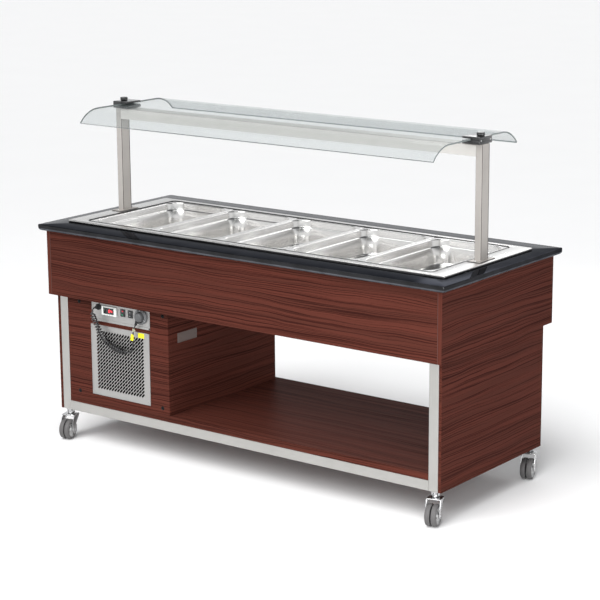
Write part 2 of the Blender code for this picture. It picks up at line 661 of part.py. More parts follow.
def make_canopy():
    half_wide, half_deep = CANOPY_POST_WIDE / 2, CANOPY_POST_DEEP / 2
    foot = PAN_PLANE + GAP
    slot_gap = 0.0004
    for side, name in ((-1, "left"), (1, "right")):
        x = side * CANOPY_POST_X
        post = box(f"canopy_post_{name}", (x - half_wide, -half_deep, foot),
                   (x + half_wide, half_deep, CANOPY_POST_TOP), "satin_post", 0.001)
        plate = box(f"post_foot_{name}", (x - FOOT_HALF_X, -FOOT_HALF_Y, foot),
                    (x + FOOT_HALF_X, FOOT_HALF_Y, foot + FOOT_THICK), None)
        combine(post, plate, "UNION")
        xs = sorted((side * CLAMP_INNER_X, x + side * half_wide))
        low = CANOPY_POST_TOP + GAP
        clamp = box(f"glass_clamp_{name}", (xs[0], -CLAMP_HALF_Y, low),
                    (xs[1], CLAMP_HALF_Y, low + CLAMP_HEIGHT), "black_gloss", 0.005, 3)
        inner, outer = side * (CLAMP_INNER_X - 0.02), side * (GLASS_HALF_X + 0.0015)
        slot_xs = sorted((inner, outer))
        slot = box(f"clamp_slot_{name}",
                   (slot_xs[0], -CLAMP_HALF_Y - 0.02, GLASS_TOP - GLASS_THICK - slot_gap),
                   (slot_xs[1], CLAMP_HALF_Y + 0.02, GLASS_TOP + slot_gap), None)
        combine(clamp, slot)
        height = KNOB_HEIGHT
        knob = turned(f"clamp_knob_{name}", [
            (0.0, height), (KNOB_RADIUS - 0.003, height), (KNOB_RADIUS, height - 0.003),
            (KNOB_RADIUS, 0.003), (KNOB_RADIUS - 0.003, 0.0), (0.0, 0.0),
        ], "black_gloss", 20)
        knob.location = (side * KNOB_X, 0, low + CLAMP_HEIGHT + GAP)
    make_glass()
    end = CANOPY_POST_X - half_wide - GAP
    deep = (-half_deep, half_deep + 0.010)
    wall = 0.0015
    low = CHANNEL_TOP - CHANNEL_HEIGHT
    section = [
        (deep[0], low), (deep[0], CHANNEL_TOP), (deep[1], CHANNEL_TOP), (deep[1], low),
        (deep[1] - wall, low), (deep[1] - wall, CHANNEL_TOP - wall),
        (deep[0] + wall, CHANNEL_TOP - wall), (deep[0] + wall, low),
    ]
    channel = outline("light_channel", section, 2 * end, "satin_post")
    channel.matrix_world = ALONG_X
    lamp_end = end - 0.030
    box("light_diffuser", (-lamp_end, deep[0] + wall + 0.004, low + 0.002),
        (lamp_end, deep[1] - wall - 0.004, CHANNEL_TOP - wall - GAP), "opal", 0.003, 2)


# Castors --------------------------------------------------------------------------------------
def fork_arm(name, side):
    """One side of the fork: a plate that narrows from the crown down to the axle."""
    crown, hub = 0.0975, 0.010
    axle_y, axle_z = -CASTOR_TRAIL, WHEEL_RADIUS
    round_steps = 6
    ring = [(0.016, crown), (-0.026, crown)]
    for step in range(round_steps + 1):
        angle = math.pi + math.pi * step / round_steps
        ring.append((axle_y + hub * math.cos(angle), axle_z + hub * math.sin(angle)))
    ring.append((0.004, 0.078))
    arm = outline(name, ring, ARM_THICK, None)
    arm.matrix_world = Matrix.Translation((side * (FORK_INNER + ARM_THICK / 2), 0, 0)) @ ALONG_X
    return as_mesh(arm, None)


def make_castor(label, x, y):
    """A stem plate, a swivelling fork with its axle, and a twin wheel on that axle."""
    stem = turned(f"castor_stem_{label}", [
        (0.0, BASE_BOTTOM - GAP), (0.0190, BASE_BOTTOM - GAP), (0.0190, BASE_BOTTOM - 0.0040),
        (0.0155, BASE_BOTTOM - 0.0055), (0.0155, 0.1020), (0.0125, 0.0985), (0.0050, 0.0985),
        (0.0050, 0.0885), (0.0, 0.0885),
    ], "chrome", 20)
    stem.location = (x, y, 0)

    crown_top, crown_low = 0.0980, 0.0930
    outer = FORK_INNER + ARM_THICK
    fork = box(f"castor_fork_{label}", (-outer, -0.030, crown_low), (outer, 0.017, crown_top),
               "chrome", 0.0015)
    for side, tag in ((-1, "a"), (1, "b")):
        combine(fork, fork_arm(f"fork_arm_{tag}_{label}", side), "UNION")
    axle = cylinder(f"castor_axle_{label}", (0, -CASTOR_TRAIL, WHEEL_RADIUS), 0.004,
                    2 * outer + 0.003, "X", None, 16)
    combine(fork, axle, "UNION")
    hole = cylinder(f"fork_hole_{label}", (0, 0, 0.095), 0.0056, 0.03, "Z", None, 16)
    combine(fork, hole)
    swivel = Matrix.Translation((x, y, 0)) @ Matrix.Rotation(CASTOR_TURN, 4, "Z")
    for piece in [m.object for m in fork.modifiers if m.type == "BOOLEAN"]:
        piece.matrix_world = swivel @ piece.matrix_basis
    shift = Matrix.Translation(-fork.location)
    fork.data.transform(shift.inverted())
    fork.matrix_world = swivel

    wide = WHEEL_WIDTH
    edge, neck = WHEEL_SPACE / 2, 0.015
    half = [
        (BORE_RADIUS, edge + wide - 0.001), (0.013, edge + wide - 0.001),
        (0.016, edge + wide - 0.004), (0.030, edge + wide - 0.004), (0.032, edge + wide - 0.0005),
        (WHEEL_RADIUS, edge + wide - 0.005), (WHEEL_RADIUS, edge), (neck, edge),
    ]
    mirrored = [(radius, -height) for radius, height in reversed(half)]
    wheel = turned(f"castor_wheel_{label}", half + mirrored, "tread", 20, "X")
    upright = Matrix.Translation((0, -CASTOR_TRAIL, WHEEL_RADIUS))
    wheel.matrix_world = swivel @ upright @ Matrix.Rotation(math.pi / 2, 4, "Y")


def make_castors():
    for side_y, name_y in ((-1, "front"), (1, "rear")):
        for side_x, name_x in ((-1, "left"), (1, "right")):
            make_castor(f"{name_y}_{name_x}", side_x * STEM_X, side_y * STEM_Y)


clear_scene()
PARTS = collection("buffet_trolley")
CUTTERS = collection("cutters")

make_worktop()
make_well()
make_pans()
make_aprons()
make_side_panels()
make_frame()
make_floor_and_walls()
make_control_plate()
make_thermostat()
make_rockers()
make_grille()
make_plug_and_lead()
make_machinery()
make_canopy()
make_castors()
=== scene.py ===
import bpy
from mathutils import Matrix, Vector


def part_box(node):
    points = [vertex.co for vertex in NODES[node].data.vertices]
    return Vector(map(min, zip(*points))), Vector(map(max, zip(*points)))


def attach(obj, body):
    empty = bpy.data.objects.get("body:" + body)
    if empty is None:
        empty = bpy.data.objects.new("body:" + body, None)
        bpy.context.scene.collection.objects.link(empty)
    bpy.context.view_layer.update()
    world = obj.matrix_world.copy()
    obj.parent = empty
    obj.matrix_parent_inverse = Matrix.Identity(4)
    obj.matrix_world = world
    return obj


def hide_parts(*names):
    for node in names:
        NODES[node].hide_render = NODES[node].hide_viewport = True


bl_info = {
    "name": "Buffet Trolley",
    "version": (1, 0, 0),
    "blender": (4, 5, 0),
    "location": "View3D > Sidebar > Trolley",
    "description": "Dresses the frame of a five-pan buffet trolley with its visible pieces",
    "category": "Object",
}

from math import cos, pi, radians, sin

import bmesh
import bpy
from bpy.props import FloatProperty, FloatVectorProperty, IntProperty, PointerProperty
from mathutils import Matrix, Vector

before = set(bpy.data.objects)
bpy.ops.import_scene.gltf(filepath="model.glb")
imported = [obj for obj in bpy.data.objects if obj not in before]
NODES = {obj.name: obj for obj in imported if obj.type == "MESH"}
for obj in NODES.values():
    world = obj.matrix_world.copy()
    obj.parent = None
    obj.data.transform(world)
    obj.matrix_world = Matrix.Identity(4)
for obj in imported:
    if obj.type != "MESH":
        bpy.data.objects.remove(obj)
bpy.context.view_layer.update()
SIDES = ((-1, "left"), (1, "right"))
FACE_FRONT = Matrix.Rotation(pi / 2, 4, "X")      # turns +Z to -Y, the control side
MIX_FACTOR, MIX_FIRST, MIX_SECOND, MIX_COLOUR = 0, 6, 7, 2      # sockets of a colour mix
ALONG_X = Matrix(((0, 0, 1), (1, 0, 0), (0, 1, 0))).to_4x4()
SIDEWAYS = Matrix.Rotation(pi / 2, 4, "Y")        # turns +Z to +X
moved = Matrix.Translation


def rotated(degrees, axis):
    return Matrix.Rotation(radians(degrees), 4, axis)


def on_front(point):
    """Stands a part that is made along +Z out of the control side at a point."""
    return moved(point) @ FACE_FRONT


def span(node):
    """The lowest corner, highest corner and middle of a CAD node."""
    low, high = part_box(node)
    return low, high, (low + high) / 2


# Sizes and colours ----------------------------------------------------------------------------
def length(name, description, default):
    return FloatProperty(name=name, description=description, default=default, min=0.0,
        unit="LENGTH", subtype="DISTANCE", precision=4)


def colour(name, description, default):
    return FloatVectorProperty(name=name, description=description, default=default, size=3, min=0.0,
        max=1.0, subtype="COLOR")


class TrolleySizes(bpy.types.PropertyGroup):
    """Sizes of the visible details."""
    slab_round: length("Slab lower edge", "Round on the underside of the stone's edge", 0.0125)
    slab_top_round: length("Slab upper edge", "Round on the top of the stone's edge", 0.0025)
    pan_rim: length("Pan rim", "Width of a food pan's flat rim", 0.0125)
    pan_step: length("Pan step", "Depth of the stacking step under a pan's rim", 0.026)
    pan_corner: length("Pan corner", "Radius of a food pan's upright corners", 0.056)
    slot_long: length("Slot length", "Length of one slot in the grille", 0.02)
    slot_wide: length("Slot width", "Width of one slot in the grille", 0.0072)
    slot_count: IntProperty(name="Slots", description="Slots across and down the grille",
        default=17, min=2)
    cable: length("Cable", "Diameter of the lead's cable", 0.0056)
    winding: length("Winding", "Radius of the curly part, to the middle of the cable", 0.0088)
    pitch: length("Winding pitch", "Distance from one turn of the lead to the next", 0.0108)
    screw: length("Screw head", "Radius of the black screw heads", 0.0066)
    flutes: IntProperty(name="Knob flutes", description="Grip flutes round a clamp knob",
        default=16, min=3)


class TrolleyColours(bpy.types.PropertyGroup):
    """Base colours of the finishes."""
    wood: colour("Wood", "Laminate between its grain lines", (0.098, 0.0285, 0.02))
    wood_brown: colour("Wood bands", "Browner bands of the laminate", (0.078, 0.0245, 0.0175))
    wood_line: colour("Grain lines", "Dark lines of the laminate", (0.024, 0.007, 0.0055))
    stone: colour("Stone", "Polished black worktop", (0.034, 0.034, 0.0355))
    steel: colour("Steel", "Brushed and pressed stainless", (0.76, 0.75, 0.735))
    frame_steel: colour("Frame tube", "Pale satin tube of the frame", (0.5, 0.492, 0.472))
    satin: colour("Canopy posts", "Warm satin aluminium", (0.52, 0.49, 0.462))
    glass: colour("Glass", "Light that comes through the canopy", (0.942, 0.953, 0.953))
    glass_edge: colour("Glass edge", "Polished edge of the canopy", (0.2, 0.225, 0.225))
    wheel: colour("Wheels", "Grey tread of the castors", (0.105, 0.101, 0.101))
    tag: colour("Tag", "Plain yellow tag on the lead", (0.86, 0.78, 0.015))
    digits: colour("Digits", "Lit digits of the thermostat", (1.0, 0.03, 0.045))


def sizes():
    return bpy.context.scene.trolley_sizes


def colours():
    return bpy.context.scene.trolley_colours


# Shader maths ---------------------------------------------------------------------------------
class Value:
    """One socket of a finish; arithmetic on it adds Math nodes."""

    def __init__(self, finish, socket):
        self.finish = finish
        self.socket = socket

    def maths(self, operation, first, *others):
        values = dict(enumerate((first, *others)))
        return self.finish.node("ShaderNodeMath", {"operation": operation}, values)

    def __add__(self, other):
        return self.maths("ADD", self, other)

    def __sub__(self, other):
        return self.maths("SUBTRACT", self, other)

    def __rsub__(self, other):
        return self.maths("SUBTRACT", other, self)

    def __mul__(self, other):
        return self.maths("MULTIPLY", self, other)

    def __abs__(self):
        return self.maths("ABSOLUTE", self)

    def __gt__(self, other):
        return self.maths("GREATER_THAN", self, other)

    __radd__ = __add__
    __rmul__ = __mul__


class Finish:
    """A node tree in the making, with the few texture steps that the finishes share."""

    def __init__(self, tree):
        self.tree = tree
        self.place = None

    def feed(self, node, socket, value):
        if isinstance(value, Value):
            self.tree.links.new(value.socket, node.inputs[socket])
        elif node.inputs[socket].type == "RGBA":
            node.inputs[socket].default_value = (*tuple(value)[:3], 1.0)
        else:
            node.inputs[socket].default_value = value

    def node(self, kind, settings, values, output=0):
        """Any node: its settings first, then the values or links of its sockets."""
        made = self.tree.nodes.new(kind)
        for setting, value in settings.items():
            setattr(made, setting, value)
        for socket, value in values.items():
            self.feed(made, socket, value)
        return Value(self, made.outputs[output])

    def parts(self, vector):
        return [self.node("ShaderNodeSeparateXYZ", {}, {0: vector}, axis) for axis in range(3)]

    def metres(self):
        """X, Y and Z of the surface in the trolley's own frame."""
        if self.place is None:
            self.place = self.parts(self.node("ShaderNodeTexCoord", {}, {}, "Object"))
        return self.place

    def facing(self):
        return self.parts(self.node("ShaderNodeNewGeometry", {}, {}, "Normal"))

    def noise(self, x, y, z, detail=2.0, rough=0.5):
        point = self.node("ShaderNodeCombineXYZ", {}, {0: x, 1: y, 2: z})
        values = {"Vector": point, "Scale": 1.0, "Detail": detail, "Roughness": rough}
        return self.node("ShaderNodeTexNoise", {}, values)

    def specks(self, scale, detail, rough=0.5):
        """Noise of the same fineness on every axis."""
        return self.noise(*(part * scale for part in self.metres()), detail, rough)

    def between(self, value, low, high):
        """0 at low and 1 at high, held beyond them."""
        values = {"Value": value, "From Min": low, "From Max": high}
        return self.node("ShaderNodeMapRange", {"interpolation_type": "SMOOTHSTEP"}, values)

    def mix(self, factor, first, second):
        values = {MIX_FACTOR: factor, MIX_FIRST: first, MIX_SECOND: second}
        return self.node("ShaderNodeMix", {"data_type": "RGBA"}, values, MIX_COLOUR)

    def bump(self, height, distance, strength=1.0):
        values = {"Height": height, "Distance": distance, "Strength": strength}
        return self.node("ShaderNodeBump", {}, values)


MADE = {}


def named(tint):
    """A colour given by its name in the panel, or as three numbers."""
    return tuple(getattr(colours(), tint)) if isinstance(tint, str) else tint


def finish(name):
    """The material of that name, made when it is first asked for."""
    if name in MADE:
        return MADE[name]
    made = MADE[name] = bpy.data.materials.new(f"dressed_{name}")
    made.use_nodes = True
    paint = Finish(made.node_tree)
    maker, settings = FINISHES[name]
    shader = made.node_tree.nodes["Principled BSDF"]
    for socket, value in maker(paint, **settings).items():
        paint.feed(shader, socket, value)
    return made


def laminate(f, edge_banded=False):
    """Wood-pattern laminate: level wavy grain on walls, grain along X on flat boards."""
    x, y, z = f.metres()
    side_x, side_y, side_z = (abs(part) > 0.6 for part in f.facing())
    run = x + side_x * (y - x)
    across = z + side_z * (y - z)
    wave = f.noise(run * 1.8, across * 8.0, x * 0.1, 2.0) - 0.5
    fine_wave = f.noise(run * 10.0, across * 26.0, 1.7, 1.0) - 0.5
    level = across + wave * 0.044 + fine_wave * 0.005
    streaks = f.noise(run * 1.1, level * 360.0, 0.3, 2.0, 0.5)
    lines = f.between(streaks, 0.475, 0.405)
    bands = f.between(f.noise(run * 0.8, level * 48.0, 4.2, 2.0), 0.36, 0.64)
    pores = f.between(f.noise(run * 40.0, level * 900.0, 2.0, 1.0), 0.62, 0.7)
    base = f.mix(bands, colours().wood, colours().wood_brown)
    shown = f.mix(lines * 0.82, base, colours().wood_line)
    shown = f.mix(pores * 0.35, shown, colours().wood_line)
    if edge_banded:
        band = f.noise(x * 260.0, 0.5, z * 5.0, 2.0)
        plain = f.mix(f.between(band, 0.35, 0.65), colours().wood_brown, colours().wood)
        shown = f.mix(side_y, shown, plain)
    scuffs = f.between(f.specks(30.0, 4.0, 0.7), 0.6, 0.75)
    return {
        "Base Color": shown,
        "Roughness": 0.42 + lines * 0.12 + scuffs * 0.1,
        "Normal": f.bump(streaks, 0.00025, 0.5),
        "Specular IOR Level": 0.01,
    }


def stone(f, dark, light, shine):
    """Polished stone that mirrors a little at every angle; dark and light are its cloudy tones."""
    x, y, z = f.metres()
    point = f.node("ShaderNodeCombineXYZ", {}, {0: x * 420.0, 1: y * 420.0, 2: z * 420.0})
    crystals = f.node("ShaderNodeTexVoronoi", {}, {"Vector": point, "Scale": 1.0})
    patches = f.specks(90.0, 3.0)
    flecks = f.between(crystals, 0.28, 0.12) * f.between(patches, 0.5, 0.66)
    cloud = f.specks(14.0, 4.0, 0.6)
    base = f.mix(f.between(cloud, 0.3, 0.7), named(dark), light)
    return {
        "Base Color": f.mix(flecks * 0.7, base, (0.085, 0.09, 0.105)),
        "Roughness": 0.07 + cloud * 0.06,
        "Metallic": shine,
        "Specular IOR Level": 0.0,
        "Specular Tint": (0.42, 0.425, 0.44),
        "Normal": f.bump(cloud, 0.0006, 0.08),
    }


def metal(f, tint, rough, along=(1.0, 1.0, 1.0), grain=0.1, smudge=0.06, metallic=1.0,
        depth=0.00004):
    """Metal with grain lines: along holds how finely the grain changes on each axis."""
    base = named(tint)
    x, y, z = f.metres()
    fine = f.noise(x * along[0], y * along[1], z * along[2], 3.0, 0.6)
    broad = f.specks(11.0, 3.0, 0.55)
    marks = f.between(broad, 0.42, 0.72)
    shade = tuple(part * 0.86 for part in base)
    return {
        "Base Color": f.mix(fine * 0.55 + marks * 0.25, base, shade),
        "Metallic": metallic,
        "Roughness": rough + fine * grain + marks * smudge,
        "Normal": f.bump(fine, depth, 0.6),
    }


def plastic(f, tint, rough, grain=1400.0, depth=0.00006, wear=0.25, coat=0.0, shine=0.5):
    """Moulded plastic, rubber or paint with a fine skin and paler rubbed patches."""
    base = named(tint)
    skin = f.specks(grain, 2.0)
    rubbed = f.between(f.specks(45.0, 4.0, 0.65), 0.5, 0.72)
    pale = tuple(part * 0.8 + 0.045 for part in base)
    return {
        "Base Color": f.mix(rubbed * wear, base, pale),
        "Roughness": rough + skin * 0.08 + rubbed * 0.08,
        "Normal": f.bump(skin, depth, 0.7),
        "Coat Weight": coat,
        "Specular IOR Level": shine,
    }


def glass(f, tint):
    """Clear bent sheet: light passes straight through, with a gloss that grows at low angles."""
    x, y, z = f.metres()
    film = f.noise(x * 5.0, y * 12.0, z * 12.0, 3.0, 0.6)
    low_angle = f.node("ShaderNodeFresnel", {}, {"IOR": 1.42})
    clear = f.node("ShaderNodeBsdfTransparent", {}, {"Color": named(tint)})
    shader = f.tree.nodes["Principled BSDF"]
    gloss = Value(f, shader.outputs[0])
    share = low_angle * 0.2 + film * 0.01
    mixed = f.node("ShaderNodeMixShader", {}, {0: share, 1: clear, 2: gloss})
    f.feed(f.tree.nodes["Material Output"], "Surface", mixed)
    return {"Base Color": (0.25, 0.28, 0.285), "Roughness": 0.05, "Specular IOR Level": 0.6}


def lamp(f, tint, strength):
    base = named(tint)
    glow = f.specks(500.0, 1.0)
    return {
        "Base Color": base,
        "Emission Color": f.mix(glow * 0.3, base, tuple(part * 0.6 for part in base)),
        "Emission Strength": strength,
        "Roughness": 0.3,
    }


FINISHES = {
    "wood_laminate": (laminate, dict()),
    "wood_laminate_banded": (laminate, dict(edge_banded=True)),
    "polished_stone": (stone, dict(dark="stone", light=(0.046, 0.0465, 0.05), shine=1.0)),
    # A paler copy of the stone for the slab's lower edge: painted reflection of the bright floor.
    "stone_floor_reflection": (stone,
                   dict(dark=(0.075, 0.08, 0.09), light=(0.115, 0.121, 0.135), shine=0.45)),
    "brushed_deck": (metal, dict(tint="steel", rough=0.24, along=(5, 700, 700), grain=0.06,
                                 smudge=0.04, depth=0.000004)),
    "pressed_pan": (metal, dict(tint="steel", rough=0.17, along=(260, 260, 30), grain=0.04,
                                smudge=0.05, depth=0.000003)),
    "tube_upright": (metal,
                     dict(tint="frame_steel", rough=0.34, along=(1100, 1100, 9), metallic=0.9)),
    "tube_level": (metal,
                   dict(tint="frame_steel", rough=0.34, along=(9, 1100, 1100), metallic=0.9)),
    "satin_upright": (metal, dict(tint="satin", rough=0.38, along=(1200, 1200, 8), metallic=0.7)),
    "satin_level": (metal, dict(tint=(0.76, 0.735, 0.7), rough=0.38, along=(8, 1200, 1200),
                                metallic=0.7)),
    "panel_steel": (metal, dict(tint=(0.43, 0.424, 0.415), rough=0.36, along=(900, 900, 14),
                                metallic=0.75)),
    "grey_sheet": (metal, dict(tint=(0.56, 0.565, 0.57), rough=0.42, along=(40, 40, 40))),
    "chrome": (metal, dict(tint=(0.6, 0.6, 0.605), rough=0.14, along=(90, 90, 90), grain=0.08,
                           smudge=0.14)),
    "hub_alloy": (metal, dict(tint=(0.62, 0.62, 0.62), rough=0.3, along=(300, 300, 300))),
    "copper": (metal, dict(tint=(0.72, 0.33, 0.2), rough=0.25, along=(200, 200, 200))),
    "fins": (metal, dict(tint=(0.62, 0.63, 0.64), rough=0.4, along=(60, 60, 400))),
    "seam_brown": (plastic, dict(tint=(0.085, 0.045, 0.04), rough=0.6)),
    "gloss_black": (plastic, dict(tint=(0.008, 0.008, 0.009), rough=0.14, coat=0.5, wear=0.15)),
    "matt_black": (plastic, dict(tint=(0.012, 0.012, 0.013), rough=0.5, shine=0.35)),
    "cable_black": (plastic, dict(tint=(0.01, 0.01, 0.011), rough=0.22, grain=2200, coat=0.6,
                                  depth=0.00002)),
    "paint_black": (plastic, dict(tint=(0.02, 0.021, 0.024), rough=0.35, coat=0.3)),
    # A shineless black for the sheet behind the grille: painted shade.
    "slot_shade_black": (plastic, dict(tint=(0.0015, 0.0015, 0.0015), rough=0.8, wear=0.02, shine=0.0)),
    "cup_grey": (plastic, dict(tint=(0.135, 0.138, 0.142), rough=0.42)),
    "wheel_grey": (plastic, dict(tint="wheel", rough=0.55, grain=700, depth=0.00015, wear=0.5)),
    "bezel_white": (plastic, dict(tint=(0.8, 0.82, 0.79), rough=0.35)),
    "button_grey": (plastic, dict(tint=(0.4, 0.42, 0.41), rough=0.45)),
    "opal": (plastic, dict(tint=(0.88, 0.88, 0.86), rough=0.45, grain=300, wear=0.1)),
    "tag_yellow": (plastic, dict(tint="tag", rough=0.5, wear=0.15)),
    "tie_pale": (plastic, dict(tint=(0.6, 0.6, 0.44), rough=0.5)),
    "screw_black": (plastic, dict(tint=(0.004, 0.004, 0.004), rough=0.4, wear=0.05, shine=0.15)),
    "blank_brown": (plastic, dict(tint=(0.125, 0.09, 0.08), rough=0.45)),
    # Dark lines on the canopy posts: painted shade in the grooves beside the cover strip.
    "groove_shade_dark": (plastic, dict(tint=(0.03, 0.02, 0.018), rough=0.6, wear=0.1)),
    "plug_grey": (plastic, dict(tint=(0.085, 0.087, 0.09), rough=0.45)),
    "canopy_glass": (glass, dict(tint="glass")),
    "canopy_glass_edge": (plastic, dict(tint="glass_edge", rough=0.12, wear=0.2)),
    "lit_red": (lamp, dict(tint="digits", strength=2.6)),
    "lit_green": (lamp, dict(tint=(0.02, 0.3, 0.14), strength=0.45)),
    "rocker_red": (lamp, dict(tint=(0.42, 0.02, 0.035), strength=0.25)),
}


def linked(name, data):
    """A new object in the scene that shows the data."""
    obj = bpy.data.objects.new(name, data)
    bpy.context.scene.collection.objects.link(obj)
    return obj


# Mesh parts -----------------------------------------------------------------------------------
def block(low, high, bevel=0.0, segments=2):
    """A box between two corners with all its edges rounded."""
    low, high = Vector(low), Vector(high)
    part = bmesh.new()
    bmesh.ops.create_cube(part, size=1.0)
    bmesh.ops.scale(part, vec=high - low, verts=part.verts)
    bmesh.ops.translate(part, vec=(low + high) / 2, verts=part.verts)
    if bevel:
        bmesh.ops.bevel(part, geom=part.edges[:], offset=bevel, segments=segments, profile=0.5,
            affect="EDGES", clamp_overlap=True)
    return part


def bridged(rings, around=False, caps=True):
    """Rings of points joined in order; the last joins the first when around is true."""
    part = bmesh.new()
    loops = [[part.verts.new(point) for point in ring] for ring in rings]
    pairs = list(zip(loops, loops[1:]))
    if around:
        pairs.append((loops[-1], loops[0]))
    count = max(len(loop) for loop in loops)
    for first, second in pairs:
        for i in range(count):
            j = (i + 1) % count
            corners = []
            for vert in (first[i % len(first)], first[j % len(first)], second[j % len(second)],
                    second[i % len(second)]):
                if vert not in corners:
                    corners.append(vert)
            if len(corners) > 2:
                part.faces.new(corners)
    if caps and not around:
        for loop in (loops[0], loops[-1]):
            if len(loop) > 2:
                part.faces.new(loop)
    return part


def turned(profile, steps=40, around=False):
    """A profile of (radius, height) turned about Z; a radius of 0 closes it to a point."""
    rings = []
    for radius, height in profile:
        if radius == 0:
            rings.append([(0, 0, height)])
        else:
            rings.append([(radius * cos(turn), radius * sin(turn), height)
                for turn in (2 * pi * k / steps for k in range(steps))])
    return bridged(rings, around)


def prism(ring, depth, bevel=0.0):
    """A flat outline given thickness along Z, with its face edges rounded."""
    part = bridged([[(x, y, z) for x, y in ring] for z in (-depth / 2, depth / 2)])
    if bevel:
        bmesh.ops.recalc_face_normals(part, faces=part.faces)
        ends = [edge for edge in part.edges
            if abs(edge.verts[0].co.z - edge.verts[1].co.z) < depth / 4]
        bmesh.ops.bevel(part, geom=ends, offset=bevel, segments=2, profile=0.5, affect="EDGES")
    return part


def rounded_ring(half_x, half_y, radius, height, corner_steps=12):
    """The points of a rectangle with rounded corners, counter-clockwise from +X."""
    ring = []
    for quarter, (sign_x, sign_y) in enumerate(((1, 1), (-1, 1), (-1, -1), (1, -1))):
        for step in range(corner_steps + 1):
            angle = pi / 2 * (quarter + step / corner_steps)
            ring.append((sign_x * (half_x - radius) + radius * cos(angle),
                sign_y * (half_y - radius) + radius * sin(angle), height))
    return ring


def rounding(size, count, first=0):
    """How far each point of a rounded edge stands back from the faces it joins."""
    for step in range(first, count + 1):
        turn = pi / 2 * step / count
        yield size * (1 - cos(turn)), size * (1 - sin(turn))


def perforated(outline, holes, thick, bevel):
    """A flat plate with holes and softened edges, in the XY plane about Z = 0."""
    curve = bpy.data.curves.new("plate", "CURVE")
    curve.dimensions = "2D"
    curve.fill_mode = "BOTH"
    curve.bevel_depth = bevel
    curve.bevel_resolution = 1
    curve.offset = -bevel
    curve.extrude = thick / 2 - bevel
    for ring in (outline, *holes):
        spline = curve.splines.new("POLY")
        spline.points.add(len(ring) - 1)
        for point, (x, y) in zip(spline.points, ring):
            point.co = (x, y, 0, 1)
        spline.use_cyclic_u = True
    holder = linked("plate", curve)
    bpy.context.view_layer.update()
    shown = holder.evaluated_get(bpy.context.evaluated_depsgraph_get())
    data = bpy.data.meshes.new_from_object(shown)
    part = bmesh.new()
    part.from_mesh(data)
    bmesh.ops.remove_doubles(part, verts=part.verts, dist=0.000005)
    bpy.data.objects.remove(holder)
    bpy.data.curves.remove(curve)
    bpy.data.meshes.remove(data)
    return part


def rectangle(low_x, high_x, low_z, high_z):
    return [(low_x, low_z), (high_x, low_z), (high_x, high_z), (low_x, high_z)]


def piped(points, radius, sides=10):
    """A round bar that follows points, with closed ends."""
    rings = []
    normal = None
    for index, point in enumerate(points):
        ahead = points[min(index + 1, len(points) - 1)] - points[max(index - 1, 0)]
        ahead.normalize()
        normal = ahead.orthogonal() if normal is None else normal - ahead * normal.dot(ahead)
        normal.normalize()
        other = ahead.cross(normal)
        rings.append([point + radius * (normal * cos(turn) + other * sin(turn))
            for turn in (2 * pi * k / sides for k in range(sides))])
    return bridged(rings)


def smooth_route(points, spacing):
    """Points about spacing apart along a smooth curve through the given ones."""
    line = [Vector(p) for p in points]
    line = [2 * line[0] - line[1]] + line + [2 * line[-1] - line[-2]]
    smooth = []
    for a, b, c, d in zip(line, line[1:], line[2:], line[3:]):
        pieces = max(2, round((c - b).length / spacing))
        for k in range(pieces):
            t = k / pieces
            smooth.append(0.5 * (2 * b + (c - a) * t + (2 * a - 5 * b + 4 * c - d) * t * t
                + (3 * b - a - 3 * c + d) * t ** 3))
    return smooth + [line[-2]]


class Piece:
    """One visible piece, gathered from parts; each part may have its own finish."""

    def __init__(self, name):
        self.name = name
        self.mesh = bmesh.new()
        self.finishes = []

    def add(self, part, look, place=None, outward=True):
        if look not in self.finishes:
            self.finishes.append(look)
        if outward:
            bmesh.ops.recalc_face_normals(part, faces=part.faces)
        if place is not None:
            bmesh.ops.transform(part, matrix=place, verts=part.verts)
        for face in part.faces:
            face.material_index = self.finishes.index(look)
        data = bpy.data.meshes.new("part")
        part.to_mesh(data)
        part.free()
        self.mesh.from_mesh(data)
        bpy.data.meshes.remove(data)
        return self

    def border(self, outer, inner, near, far, look, bevel, segments=2):
        """Four bars round an opening; outer and inner give low X, low Z, high X and high Z."""
        for low_x, low_z, high_x, high_z in ((*outer[:2], inner[0], outer[3]),
                (inner[2], *outer[1:]), (*outer[:3], inner[1]), (outer[0], inner[3], *outer[2:])):
            self.add(block((low_x, near, low_z), (high_x, far, high_z), bevel, segments), look)

    def done(self, body="base", stands_for=(), sharp=32):
        data = bpy.data.meshes.new(self.name)
        self.mesh.to_mesh(data)
        self.mesh.free()
        for look in self.finishes:
            data.materials.append(finish(look))
        data.shade_smooth()
        data.set_sharp_from_angle(angle=radians(sharp))
        obj = linked(self.name, data)
        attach(obj, body)
        if stands_for:
            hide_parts(*stands_for)
        return obj


def repaint(look, *names):
    """Gives CAD nodes that keep their own shape a detailed finish."""
    for name in names:
        for slot in NODES[name].material_slots:
            slot.material = finish(look)


def screw_head(radius, height=0.0022):
    """A domed head with a round recess."""
    return turned([(0, height * 0.45), (radius * 0.3, height * 0.45), (radius * 0.36, height),
        (radius * 0.62, height * 0.93), (radius * 0.88, height * 0.62), (radius, height * 0.2),
        (radius, 0), (0, 0)], 24)


# Where the camera stands, its yaw, pitch and roll in degrees, and its focal length in mm.
CAMERA_AT, CAMERA_TURN, LENS = (4.468, -5.832, 2.359), (37.21, 13.28, -0.36), 117.64


